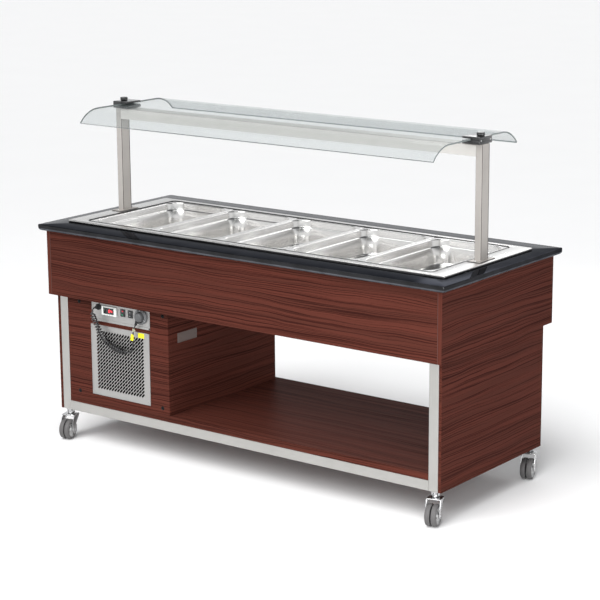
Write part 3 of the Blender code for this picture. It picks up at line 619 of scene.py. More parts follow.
# Operators ------------------------------------------------------------------------------------
class TROLLEY_OT_stage(bpy.types.Operator):
    """Camera, pale floor and soft studio light"""
    bl_idname = "trolley.stage"
    bl_label = "Stage"

    def execute(self, context):
        scene = context.scene
        scene.view_settings.view_transform = "Standard"
        data = bpy.data.cameras.new("view")
        data.lens = LENS
        data.sensor_width = 36.0
        data.clip_end = 300.0
        camera = linked("view", data)
        yaw, pitch, roll = (radians(angle) for angle in CAMERA_TURN)
        back = Vector((sin(yaw) * cos(pitch), -cos(yaw) * cos(pitch), sin(pitch)))
        right = Vector((cos(yaw), sin(yaw), 0))
        up = back.cross(right)
        axes = (right * cos(roll) + up * sin(roll), up * cos(roll) - right * sin(roll), back)
        camera.matrix_world = moved(CAMERA_AT) @ Matrix(axes).transposed().to_4x4()
        scene.camera = camera

        floor_part = bmesh.new()
        bmesh.ops.create_grid(floor_part, x_segments=8, y_segments=8, size=90.0)
        floor_data = bpy.data.meshes.new("studio_floor")
        floor_part.to_mesh(floor_data)
        floor_part.free()
        floor = linked("studio_floor", floor_data)
        pale = bpy.data.materials.new("studio_floor")
        pale.use_nodes = True
        paint = Finish(pale.node_tree)
        shader = pale.node_tree.nodes["Principled BSDF"]
        x, y, z = paint.metres()
        tone = paint.noise(x * 2.0, y * 2.0, z, 2.0)
        for socket, value in {"Base Color": paint.mix(tone, (0.94, 0.94, 0.94), (0.92, 0.92, 0.92)),
                "Roughness": 0.9, "Specular IOR Level": 0.1}.items():
            paint.feed(shader, socket, value)
        floor_data.materials.append(pale)

        world = bpy.data.worlds.new("studio")
        scene.world = world
        world.use_nodes = True
        sky = Finish(world.node_tree)
        height = sky.parts(sky.node("ShaderNodeTexCoord", {}, {}, "Generated"))[2]
        tint = sky.mix(sky.between(height, 0.34, 0.62), (0.88, 0.888, 0.9), (0.13, 0.132, 0.138))
        sky.feed(world.node_tree.nodes["Background"], "Color", tint)

        self.sun("key", 2.85, 50.0, (0.02, -0.9, 1.1))
        self.softbox("overhead_left", (-0.9, -0.6, 3.3), (1.5, 1.2), 16.0)
        self.softbox("overhead_right", (0.9, -0.6, 3.3), (1.5, 1.2), 16.0)
        self.softbox("rear_strip", (0.0, 2.6, 2.4), (2.6, 0.8), 16.0)
        self.softbox("right_front", (2.3, -2.3, 0.95), (1.4, 1.0), 26.0)
        return {"FINISHED"}

    def sun(self, name, strength, spread, towards):
        data = bpy.data.lights.new(name, "SUN")
        data.energy = strength
        data.angle = radians(spread)
        light = linked(name, data)
        light.rotation_euler = Vector(towards).to_track_quat("Z", "Y").to_euler()

    def softbox(self, name, at, size, power):
        data = bpy.data.lights.new(name, "AREA")
        data.shape = "RECTANGLE"
        data.size, data.size_y = size
        data.energy = power
        light = linked(name, data)
        light.location = at
        aim = Vector(at) - Vector((0, 0, 0.85))
        light.rotation_euler = aim.to_track_quat("Z", "Y").to_euler()


# The lead's two stretches, from the gland to the low point and on up to the plug.
COIL_ROUTE = [
    (-0.69, -0.3666, 0.57), (-0.69, -0.3716, 0.57), (-0.6905, -0.3795, 0.566),
    (-0.691, -0.383, 0.5545), (-0.6905, -0.379, 0.5385), (-0.6875, -0.3715, 0.516),
    (-0.677, -0.366, 0.487), (-0.658, -0.363, 0.459), (-0.635, -0.362, 0.438),
    (-0.605, -0.3615, 0.4215), (-0.572, -0.361, 0.413), (-0.543, -0.361, 0.4115),
    (-0.53, -0.361, 0.4125),
]
TAIL_ROUTE = [
    (-0.5297, -0.361, 0.4126), (-0.519, -0.361, 0.415), (-0.508, -0.361, 0.424),
    (-0.502, -0.3615, 0.439), (-0.5, -0.3628, 0.458), (-0.4972, -0.3645, 0.482),
    (-0.4923, -0.3655, 0.5071), (-0.4818, -0.3655, 0.5287),
]


def wound(centre, radius, pitch, steps=16, lead_in=0.016, grow=0.03, shrink=0.024):
    """A winding about a centre line that starts and ends on it, slower where it is narrow."""
    fine = [centre[0]]
    step = pitch / steps
    left = step
    for a, b in zip(centre, centre[1:]):
        gap, at = (b - a).length, 0.0
        while gap - at >= left:
            at += left
            fine.append(a.lerp(b, at / gap))
            left = step
        left -= gap - at
    total = step * (len(fine) - 1)
    points = []
    normal = None
    turn = 0.0
    for index, point in enumerate(fine):
        ahead = fine[min(index + 1, len(fine) - 1)] - fine[max(index - 1, 0)]
        ahead.normalize()
        normal = Vector((1, 0, 0)) if normal is None else normal
        normal = (normal - ahead * normal.dot(ahead)).normalized()
        along = step * index
        share = min(1.0, max(0.0, (along - lead_in) / grow), max(0.0, (total - along) / shrink))
        share = share * share * (3 - 2 * share)
        reach = radius * share
        turn += 2 * pi * share / steps
        points.append(point + reach * (normal * cos(turn) + ahead.cross(normal) * sin(turn)))
    return points


class TROLLEY_OT_lead(bpy.types.Operator):
    """Curly black lead, its strain relief, parked plug, tag and tie"""
    bl_idname = "trolley.lead"
    bl_label = "Lead and plug"

    def execute(self, context):
        size = sizes()
        coil = wound(smooth_route(COIL_ROUTE, 0.002), size.winding, size.pitch)
        tail = smooth_route(TAIL_ROUTE, 0.004)
        path = coil + [p for p in tail if (p - coil[-1]).length > 0.003]
        curve = bpy.data.curves.new("curly_lead", "CURVE")
        curve.dimensions = "3D"
        curve.bevel_depth = size.cable / 2
        curve.bevel_resolution = 3
        curve.use_fill_caps = True
        spline = curve.splines.new("POLY")
        spline.points.add(len(path) - 1)
        for point, at in zip(spline.points, path):
            point.co = (*at, 1)
        spline.use_smooth = True
        lead = linked("curly_lead", curve)
        curve.materials.append(finish("cable_black"))
        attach(lead, "base")
        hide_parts("cord_coil", "cord_tail")

        plug = self.plug(tail[-1])
        tag, tie = self.tag(tail)
        self.strain_relief()
        run = sum((b - a).length for a, b in zip(path, path[1:]))
        return {"FINISHED"}

    def plug(self, cable_end):
        """A round rubber plug pushed into the parking cup, with a ribbed neck to the cable."""
        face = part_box("plug")[1].y
        centre = span("plug_holder")[2]
        piece = Piece("parked_plug")
        piece.add(turned([(0, 0.0236), (0.006, 0.024), (0.0118, 0.0232), (0.015, 0.0215),
            (0.0176, 0.018), (0.019, 0.013), (0.019, 0.01), (0.0184, 0.0094),
            (0.0184, 0.008), (0.0194, 0.0072), (0.0195, 0.0), (0, 0)], 48), "plug_grey",
            on_front((centre.x, face, centre.z)))
        start = Vector((centre.x, cable_end.y, centre.z))
        axis = (cable_end - start).normalized()
        start = start + axis * 0.006
        neck = (cable_end - start).length
        ribs = 6
        profile = [(0, 0.0), (0.0078, 0.0)]
        for rib in range(ribs):
            low = neck * (0.12 + 0.8 * rib / ribs)
            wide = 0.0074 - 0.0026 * rib / ribs
            profile += [(wide, low), (wide, low + neck * 0.07), (wide - 0.001, low + neck * 0.08),
                (wide - 0.001, low + neck * 0.125)]
        profile += [(0.0042, neck * 0.97), (0.0034, neck), (0, neck)]
        turn = axis.to_track_quat("Z", "Y").to_matrix().to_4x4()
        piece.add(turned(profile, 24), "matt_black", moved(start) @ turn)
        return piece.done(stands_for=["plug"])

    def tag(self, tail):
        """A plain folded tag, and a pale tie above it."""
        def near(height):
            return min(tail, key=lambda p: abs(p.z - height))
        fold = Piece("yellow_tag")
        at = near(0.478)
        half_x, half_z = 0.0062, 0.0125
        for side, lean in ((-1, -5), (1, 4)):
            leaf = block((-half_x, -0.0002, -half_z), (half_x, 0.0002, half_z), 0.00015, 1)
            fold.add(leaf, "tag_yellow", moved((at.x - 0.001, at.y - 0.0036 - 0.0004 * side, at.z))
                @ rotated(lean + 6, "Y") @ rotated(lean, "Z"))
        fold.add(turned([(0.0031, -0.01), (0.0038, -0.0096), (0.0038, 0.0096), (0.0031, 0.01)],
            20, True), "tag_yellow", moved(at))
        tie_at = near(0.508)
        tie = Piece("pale_tie")
        for step in (-0.005, 0.0, 0.005):
            tie.add(turned([(0.0031, step - 0.0014), (0.0042, step - 0.001),
                (0.0042, step + 0.001), (0.0031, step + 0.0014)], 20, True), "tie_pale",
                moved(tie_at) @ rotated(12, "Y"))
        tie.add(block((0.003, -0.0012, -0.0015), (0.0085, 0.0012, 0.0015), 0.0004, 1), "tie_pale",
            moved(tie_at))
        return fold.done(), tie.done()

    def strain_relief(self):
        low, high, centre = span("cord_gland")
        reach = high.y - low.y
        piece = Piece("strain_relief")
        profile = [(0, 0), (0.0125, 0), (0.0125, 0.0042), (0.0119, 0.005), (0.0098, 0.0052)]
        ribs = 5
        for rib in range(ribs):
            at = 0.0066 + (reach - 0.008) * rib / ribs
            wide = 0.0086 - 0.0038 * rib / ribs
            profile += [(wide, at), (wide, at + 0.0014), (wide - 0.001, at + 0.0017),
                (wide - 0.0012, at + 0.0024)]
        profile += [(0.0043, reach - 0.0004), (0.0032, reach), (0, reach)]
        piece.add(turned(profile, 32), "matt_black", on_front((centre.x, high.y, centre.z)))
        piece.done(stands_for=["cord_gland"])


class TROLLEY_OT_panels(bpy.types.Operator):
    """Laminate boards, the black screws and the blank plate in the niche"""
    bl_idname = "trolley.panels"
    bl_label = "Laminate boards"

    def execute(self, context):
        repaint("wood_laminate", "apron_front", "apron_rear", "side_panel_left", "side_panel_right",
            "niche_floor", "machine_floor", "compartment_front", "compartment_rear", "partition")
        repaint("wood_laminate_banded", "apron_left", "apron_right")
        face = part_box("compartment_front")[0].y
        screws = Piece("compartment_screws")
        for x, z in ((-0.797, 0.577), (-0.806, 0.209), (-0.361, 0.577), (-0.37, 0.209)):
            spot = on_front((x, face - 0.0001, z))
            screws.add(turned([(0, 0.0004), (0.0076, 0.0004), (0.008, 0.0), (0, 0.0)], 24),
                "screw_black", spot)
            screws.add(screw_head(sizes().screw, 0.0026), "screw_black",
                spot @ moved((0, 0, 0.0004)))
        screws.done()
        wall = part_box("partition")[1].x
        plate = Piece("blank_plate")
        plate.add(block((wall + 0.0002, -0.29, 0.464), (wall + 0.0012, -0.175, 0.503), 0.0004),
            "blank_brown")
        plate.add(block((wall + 0.001, -0.286, 0.468), (wall + 0.0015, -0.179, 0.499), 0.0002, 1),
            "blank_brown")
        for y in (-0.282, -0.183):
            plate.add(screw_head(0.0026, 0.0012), "blank_brown", moved((wall + 0.0013, y, 0.4835))
                @ SIDEWAYS)
        plate.done()
        self.edge_strips()
        return {"FINISHED"}

    def edge_strips(self):
        """Thin dark joints where the side boards meet the front and rear boards."""
        strips = Piece("apron_joints")
        for _, name in SIDES:
            low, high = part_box(f"apron_{name}")
            inner = low.x if name == "right" else high.x
            for y in (low.y, high.y):
                inside = 1 if y < 0 else -1
                ys = sorted((y + inside * 0.0002, y + inside * 0.0022))
                strips.add(block((inner - 0.0006, ys[0], low.z + 0.001),
                    (inner + 0.0006, ys[1], high.z - 0.001), 0.0002, 1), "seam_brown")
        strips.done()


class TROLLEY_OT_worktop(bpy.types.Operator):
    """Polished black slab with a rounded underside edge, whose lower part is painted paler as a
    reflection of the floor
    """
    bl_idname = "trolley.worktop"
    bl_label = "Stone worktop"

    def execute(self, context):
        low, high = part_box("worktop_slab")
        deck_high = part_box("well_tub")[1]
        hole = (deck_high.x - 0.06, deck_high.y - 0.02)
        under, over = sizes().slab_round, sizes().slab_top_round
        rings = [rounded_ring(*hole, 0.008, high.z, 8)]
        for drop, inset in rounding(over, 3):
            rings.append(rounded_ring(high.x - inset, high.y - inset, 0.007, high.z - drop, 8))
        for inset, rise in rounding(under, 7):
            rings.append(rounded_ring(high.x - inset, high.y - inset, 0.007, low.z + rise, 8))
        rings.append(rounded_ring(*hole, 0.008, low.z, 8))
        piece = Piece("stone_slab")
        piece.add(bridged(rings, True), "polished_stone")
        # Faces low on the rounded edge take the paler copy: a painted reflection of the floor.
        piece.finishes.append("stone_floor_reflection")
        for face in piece.mesh.faces:
            at = face.calc_center_median()
            if at.z < low.z + under * 0.86 and (abs(at.x) > high.x - under
                    or abs(at.y) > high.y - under):
                face.material_index = 1
        piece.done(stands_for=["worktop_slab"], sharp=40)
        return {"FINISHED"}


def pressed(name, rings, thick, look, corner_steps, body, node, lift=0.0, shift=0.0):
    """A pressed sheet vessel from its outer edge to its bottom, given its sheet thickness."""
    loops = [[(x + shift, y, z + lift) for x, y, z in rounded_ring(*ring, corner_steps)]
        for ring in rings]
    part = bridged(loops, caps=False)
    part.verts.ensure_lookup_table()
    part.faces.new(part.verts[-len(loops[-1]):])
    piece = Piece(name)
    piece.add(part, look, outward=False)
    obj = piece.done(body, [node], 50)
    sheet = obj.modifiers.new("sheet", "SOLIDIFY")
    sheet.thickness = thick
    sheet.offset = -1
    return obj


class TROLLEY_OT_deck(bpy.types.Operator):
    """Raised stainless deck with its well, and the jacket under it"""
    bl_idname = "trolley.deck"
    bl_label = "Deck and well"

    def execute(self, context):
        low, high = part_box("well_tub")
        pan_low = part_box("food_pan_1")[0]
        opening = (-pan_low.x + 0.00225, -pan_low.y + 0.0015)
        well = (opening[0] - 0.0135, opening[1] - 0.013)
        top, drop = high.z, 0.003
        rings = [(high.x, high.y, 0.006, top - 0.0091), (high.x, high.y, 0.006, top - 0.003)]
        for inset, fall in rounding(drop, 4, 1):
            rings.append((high.x - inset, high.y - inset, 0.006 - inset * 0.5, top - fall))
        rings += [(opening[0] + 0.0012, opening[1] + 0.0012, 0.021, top),
            (opening[0] + 0.0003, opening[1] + 0.0003, 0.0205, top - 0.0003),
            (opening[0], opening[1], 0.02, top - 0.001), (opening[0], opening[1], 0.02,
            top - drop + 0.0004), (opening[0] - 0.0004, opening[1] - 0.0004, 0.02, top - drop),
            (well[0] + 0.001, well[1] + 0.001, 0.02, top - drop),
            (well[0], well[1], 0.02, top - drop - 0.001),]
        sheet, bend = 0.0012, 0.014
        for inset, rise in rounding(bend, 5):
            rings.append((well[0] - inset, well[1] - inset, 0.022 - inset * 0.5,
                low.z + sheet + rise))
        pressed("deck_and_well", rings, sheet, "brushed_deck", 12, "base", "well_tub")
        # Painted shade: a thin black ring in the gap round the well's opening, standing for the
        # shade between the pan rims and the deck.
        shade_ring = Piece("opening_shade_ring")
        lines = ((0.0001, -0.0028), (0.0001, 0.001), (0.0013, 0.001), (0.0013, -0.0028))
        shade_ring.add(bridged([rounded_ring(opening[0] - inset, opening[1] - inset, 0.0198 - inset,
            top + height) for inset, height in lines], True), "matt_black")
        shade_ring.done()
        repaint("grey_sheet", "well_casing")
        return {"FINISHED"}


class TROLLEY_OT_pans(bpy.types.Operator):
    """Five pressed food pans, each free to lift out"""
    bl_idname = "trolley.pans"
    bl_label = "Food pans"

    def execute(self, context):
        rim, step, corner = sizes().pan_rim, sizes().pan_step, sizes().pan_corner
        for number in range(1, 6):
            low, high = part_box(f"food_pan_{number}")
            half_x, half_y = (high.x - low.x) / 2, (high.y - low.y) / 2
            rest = high.z - 0.0014
            floor = low.z + 0.001 - rest
            bend, wall, foot = 0.018, rim + 0.0122, corner + 0.006
            profile = [(0.0, 0.022, 0.0002), (0.0, 0.022, 0.0007), (0.0003, 0.0218, 0.0012),
                (0.001, 0.0212, 0.0014), (rim * 0.55, 0.04, 0.0012),
                (rim - 0.0022, corner - 0.001, 0.0014), (rim - 0.0008, corner, 0.0009),
                (rim + 0.0004, corner, -0.0008), (rim + 0.0012, corner, -0.004),
                (rim + 0.0026, corner, -step + 0.0022), (rim + 0.0031, corner + 0.001,
                -step + 0.0004), (rim + 0.0042, corner + 0.003, -step - 0.0012),
                (rim + 0.0056, corner + 0.005, -step - 0.0022), (rim + 0.0066, foot,
                -step - 0.004), (rim + 0.009, foot, (floor - step) * 0.5)]
            profile += [(wall + inset, foot - bend * 0.8 * part / 6, floor + rise) for part,
                (inset, rise) in enumerate(rounding(bend, 6))]
            profile += [(wall + bend + 0.03, 0.036, floor + 0.0002),
                (wall + bend + 0.075, 0.02, floor + 0.0008)]
            rings = [(half_x - inset, half_y - inset, radius, height) for inset, radius,
                height in profile]
            pressed(f"pressed_pan_{number}", rings, 0.0009, "pressed_pan", 12, f"pan_{number}",
                f"food_pan_{number}", rest, (low.x + high.x) / 2)
        return {"FINISHED"}


class TROLLEY_OT_frame(bpy.types.Operator):
    """Square tube frame with its weld beads"""
    bl_idname = "trolley.frame"
    bl_label = "Tube frame"

    def execute(self, context):
        for row in ("front", "rear"):
            repaint("tube_level", f"bottom_rail_{row}")
            for _, side in SIDES:
                repaint("tube_upright", f"frame_post_{row}_{side}")
        welds = Piece("frame_welds")
        for row in ("front", "rear"):
            low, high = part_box(f"bottom_rail_{row}")
            face = low.y if row == "front" else high.y
            inside = 1 if row == "front" else -1
            for x in (low.x, high.x):
                line = [Vector((x, face + inside * 0.0006, low.z + 0.002 + k * 0.0021))
                    for k in range(17)]
                for k, point in enumerate(line):
                    point.x += 0.00018 * sin(k * 2.4)
                welds.add(piped(line, 0.0009, 8), "tube_level")
        welds.done()
        return {"FINISHED"}


def slot_outline(centre_x, centre_z, long, wide, lean=pi / 4, steps=4):
    """A slanted slot with round ends."""
    ring = []
    reach, radius = (long - wide) / 2, wide / 2
    for end, base in ((1, lean), (-1, lean + pi)):
        for step in range(steps + 1):
            turn = base - pi / 2 + pi * step / steps
            ring.append((centre_x + end * reach * cos(lean) + radius * cos(turn),
                centre_z + end * reach * sin(lean) + radius * sin(turn)))
    return ring


class TROLLEY_OT_grille(bpy.types.Operator):
    """Ventilation grille with its slanted slots"""
    bl_idname = "trolley.grille"
    bl_label = "Grille"

    def execute(self, context):
        low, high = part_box("grille")
        count = sizes().slot_count
        left, right, foot, head = -0.706, -0.461, 0.236, 0.473
        pitch_x, pitch_z = (right - left) / count, (head - foot) / count
        holes = [slot_outline(left + (i + 0.5) * pitch_x, foot + (j + 0.5) * pitch_z,
            sizes().slot_long, sizes().slot_wide) for i in range(count) for j in range(count)]
        plate = perforated(rectangle(low.x, high.x, low.z, high.z), holes, high.y - low.y, 0.0004)
        place = on_front((0, (low.y + high.y) / 2, 0))
        piece = Piece("slotted_grille")
        piece.add(plate, "panel_steel", place)
        fold = 0.003
        inner = (low.x + fold, low.z + fold, high.x - fold, high.z - fold)
        piece.border((low.x, low.z, high.x, high.z), inner, low.y - 0.0009, low.y + 0.0006,
                     "panel_steel", 0.0008, 3)
        for x in (low.x + 0.012, high.x - 0.012):
            for z in (low.z + 0.012, high.z - 0.012):
                piece.add(screw_head(0.0034, 0.0014), "panel_steel", on_front((x, low.y, z)))
        piece.done(stands_for=["grille"], sharp=40)
        patch = Piece("yellow_patch")
        patch.add(block((-0.487, low.y - 0.0004, 0.4745), (-0.4555, low.y - 0.0001, 0.4935),
                        0.0001, 1), "tag_yellow")
        patch.done()
        self.shade(low, high)
        return {"FINISHED"}

    def shade(self, low, high):
        """Painted shade: a black sheet with bars behind the slots, so that they read dark."""
        back, edge, gaps = high.y + 0.0195, 0.019, 12
        sheet = Piece("slot_shade_sheet")
        sheet.add(block((low.x + edge, back, low.z + edge),
                        (high.x - edge, back + 0.0008, high.z - edge), 0.0003, 1), "slot_shade_black")
        for k in range(1, gaps):
            x = low.x + edge + k * (high.x - low.x - 2 * edge) / gaps
            sheet.add(block((x - 0.0006, back - 0.0008, low.z + 0.021),
                            (x + 0.0006, back + 0.0002, high.z - 0.021), 0.0003, 1), "slot_shade_black")
        sheet.done()


SEGMENTS = {
    "a": (0.0, 1.0, True), "b": (0.5, 0.5, False), "c": (0.5, -0.5, False), "d": (0.0, -1.0, True),
    "e": (-0.5, -0.5, False), "f": (-0.5, 0.5, False), "g": (0.0, 0.0, True),
}
DIGITS = {"0": "abcdef", "4": "bcfg"}


class TROLLEY_OT_controls(bpy.types.Operator):
    """Control plate, thermostat, rocker switches and the cup for the plug"""
    bl_idname = "trolley.controls"
    bl_label = "Controls"

    def execute(self, context):
        self.plate()
        self.thermostat()
        for number in (1, 2):
            self.rocker(number)
        self.cup()
        return {"FINISHED"}

    def plate(self):
        low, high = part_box("control_plate")
        body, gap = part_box("thermostat"), 0.0035
        holes = [rectangle(body[0].x + gap, body[1].x - gap, body[0].z + gap + 0.001,
            body[1].z - gap - 0.001)]
        for number in (1, 2):
            near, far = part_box(f"rocker_{number}")
            holes.append(rectangle(near.x - 0.001, far.x + 0.001, near.z - 0.0012, far.z + 0.0012))
        piece = Piece("folded_control_plate")
        piece.add(perforated(rectangle(low.x, high.x, low.z, high.z), holes, high.y - low.y,
            0.0004), "panel_steel", on_front((0, (low.y + high.y) / 2, 0)))
        fold = 0.0055
        piece.border((low.x, low.z, high.x, high.z), (low.x + fold, low.z + 0.0095, high.x - fold,
            high.z - 0.004), low.y - 0.0014, low.y + 0.0008, "panel_steel", 0.0011, 3)
        for x, z in ((-0.712, 0.531), (-0.712, 0.603), (-0.497, 0.603), (-0.497, 0.531)):
            piece.add(screw_head(0.003, 0.0014), "chrome", on_front((x, low.y, z)))
        piece.done(stands_for=["control_plate"], sharp=40)

    def thermostat(self):
        repaint("bezel_white", "thermostat")
        low, _, (x, _, z) = span("thermostat")
        face = low.y
        window = Piece("display_window")
        half_x, half_z = 0.0275, 0.0128
        window.add(block((x - half_x, face - 0.0003, z - half_z + 0.001),
            (x + half_x, face + 0.002, z + half_z + 0.001), 0.0005), "gloss_black")
        rim_x = half_x + 0.0016
        for low_x, low_z, high_x, high_z in ((-rim_x, -half_z - 0.0006, -half_x, half_z + 0.0026),
                (half_x, -half_z - 0.0006, rim_x, half_z + 0.0026),
                (-rim_x, half_z + 0.001, rim_x, half_z + 0.0026),
                (-rim_x, -half_z - 0.001, rim_x, -half_z + 0.0008)):
            window.add(block((x + low_x, face - 0.0009, z + low_z),
                (x + high_x, face + 0.001, z + high_z), 0.0004), "bezel_white")
        for k in range(4):
            window.add(block((x - 0.022 + k * 0.0125, face - 0.0009, z - 0.0168),
                (x - 0.016 + k * 0.0125, face + 0.0003, z - 0.0148), 0.0004), "button_grey")
        window.done()
        tall, wide, thick = 0.0052, 0.0066, 0.001
        digits = Piece("lit_digits")
        for place, digit in ((0.004, "0"), (0.0145, "4")):
            for segment in DIGITS[digit]:
                across, height, level = SEGMENTS[segment]
                centre_x = x + place + across * wide
                centre_z = z + 0.001 + height * tall
                half = (wide / 2 - 0.0009, thick) if level else (thick, tall / 2 - 0.0009)
                digits.add(block((centre_x - half[0], face - 0.0008, centre_z - half[1]),
                    (centre_x + half[0], face - 0.0002, centre_z + half[1]), 0.0002, 1), "lit_red")
        digits.done()
        dot = Piece("running_light")
        dot.add(turned([(0, 0.0007), (0.0009, 0.0006), (0.0012, 0), (0, 0)], 16), "lit_green",
            on_front((x - 0.019, face - 0.0002, z + 0.0085)))
        dot.done()

    def rocker(self, number):
        """A paddle with a hollow face in a raised frame."""
        low, high, centre = span(f"rocker_{number}")
        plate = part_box("control_plate")[0].y
        frame_piece = Piece(f"rocker_frame_{number}")
        half_x, half_z = 0.012, 0.015
        inner_x, inner_z = (high.x - low.x) / 2 + 0.0007, (high.z - low.z) / 2 + 0.0008
        rims = [(centre.x - wide, centre.z - tall, centre.x + wide, centre.z + tall)
                for wide, tall in ((half_x, half_z), (inner_x, inner_z))]
        frame_piece.border(*rims, plate - 0.0022, plate - 0.0001, "gloss_black", 0.0006)
        frame_piece.done()
        half, wide = 0.011, high.x - low.x
        face = [(half * (1 - 2 * k / 12), 0.0015 + 0.003 * abs(1 - 2 * k / 12) ** 1.5)
            for k in range(13)]
        section = face + [(-half, -0.0025), (-0.004, -0.007), (0.004, -0.007), (half, -0.0025)]
        turn = Matrix(((0, 0, 1), (0, -1, 0), (1, 0, 0))).to_4x4()
        tilt = rotated(-8, "X")
        seat = moved((centre.x, plate, 0.562)) @ tilt @ turn
        paddle = Piece(f"rocker_paddle_{number}")
        paddle.add(prism(section, wide, 0.0006), "gloss_black", seat)
        if number == 1:
            lens = [(0.0092, 0.0041), (0.0092, 0.0047), (0.004, 0.0033), (0.004, 0.0026)]
            paddle.add(prism(lens, wide * 0.5), "rocker_red", seat)
            lens = [(-0.0056, 0.003), (-0.0056, 0.0036), (-0.009, 0.0045), (-0.009, 0.0038)]
            paddle.add(prism(lens, wide * 0.36), "lit_green", seat)
        else:
            for at in (0.007, -0.007):
                mark = [(at + 0.0006, 0.0033), (at + 0.0006, 0.0042), (at - 0.0006, 0.0042),
                    (at - 0.0006, 0.0033)]
                paddle.add(prism(mark, wide * 0.42), "button_grey", seat)
        paddle.done(f"switch_{number}", [f"rocker_{number}"])

    def cup(self):
        _, high, centre = span("plug_holder")
        piece = Piece("parking_cup")
        piece.add(turned([(0, 0.0028), (0.0206, 0.0028), (0.021, 0.0034), (0.0218, 0.0102),
            (0.0224, 0.0116), (0.0236, 0.012), (0.0262, 0.0118), (0.027, 0.0108),
            (0.0278, 0.0098), (0.0294, 0.0095), (0.0303, 0.0086), (0.0305, 0.0074), (0.0305, 0.0),
            (0, 0)], 56), "cup_grey", on_front((centre.x, high.y, centre.z)))
        for k in range(3):
            turn = radians(90 + 120 * k)
            at = (centre.x + 0.025 * cos(turn), high.y - 0.0117, centre.z + 0.025 * sin(turn))
            piece.add(screw_head(0.0018, 0.0008), "chrome", on_front(at))
        piece.done(stands_for=["plug_holder"])


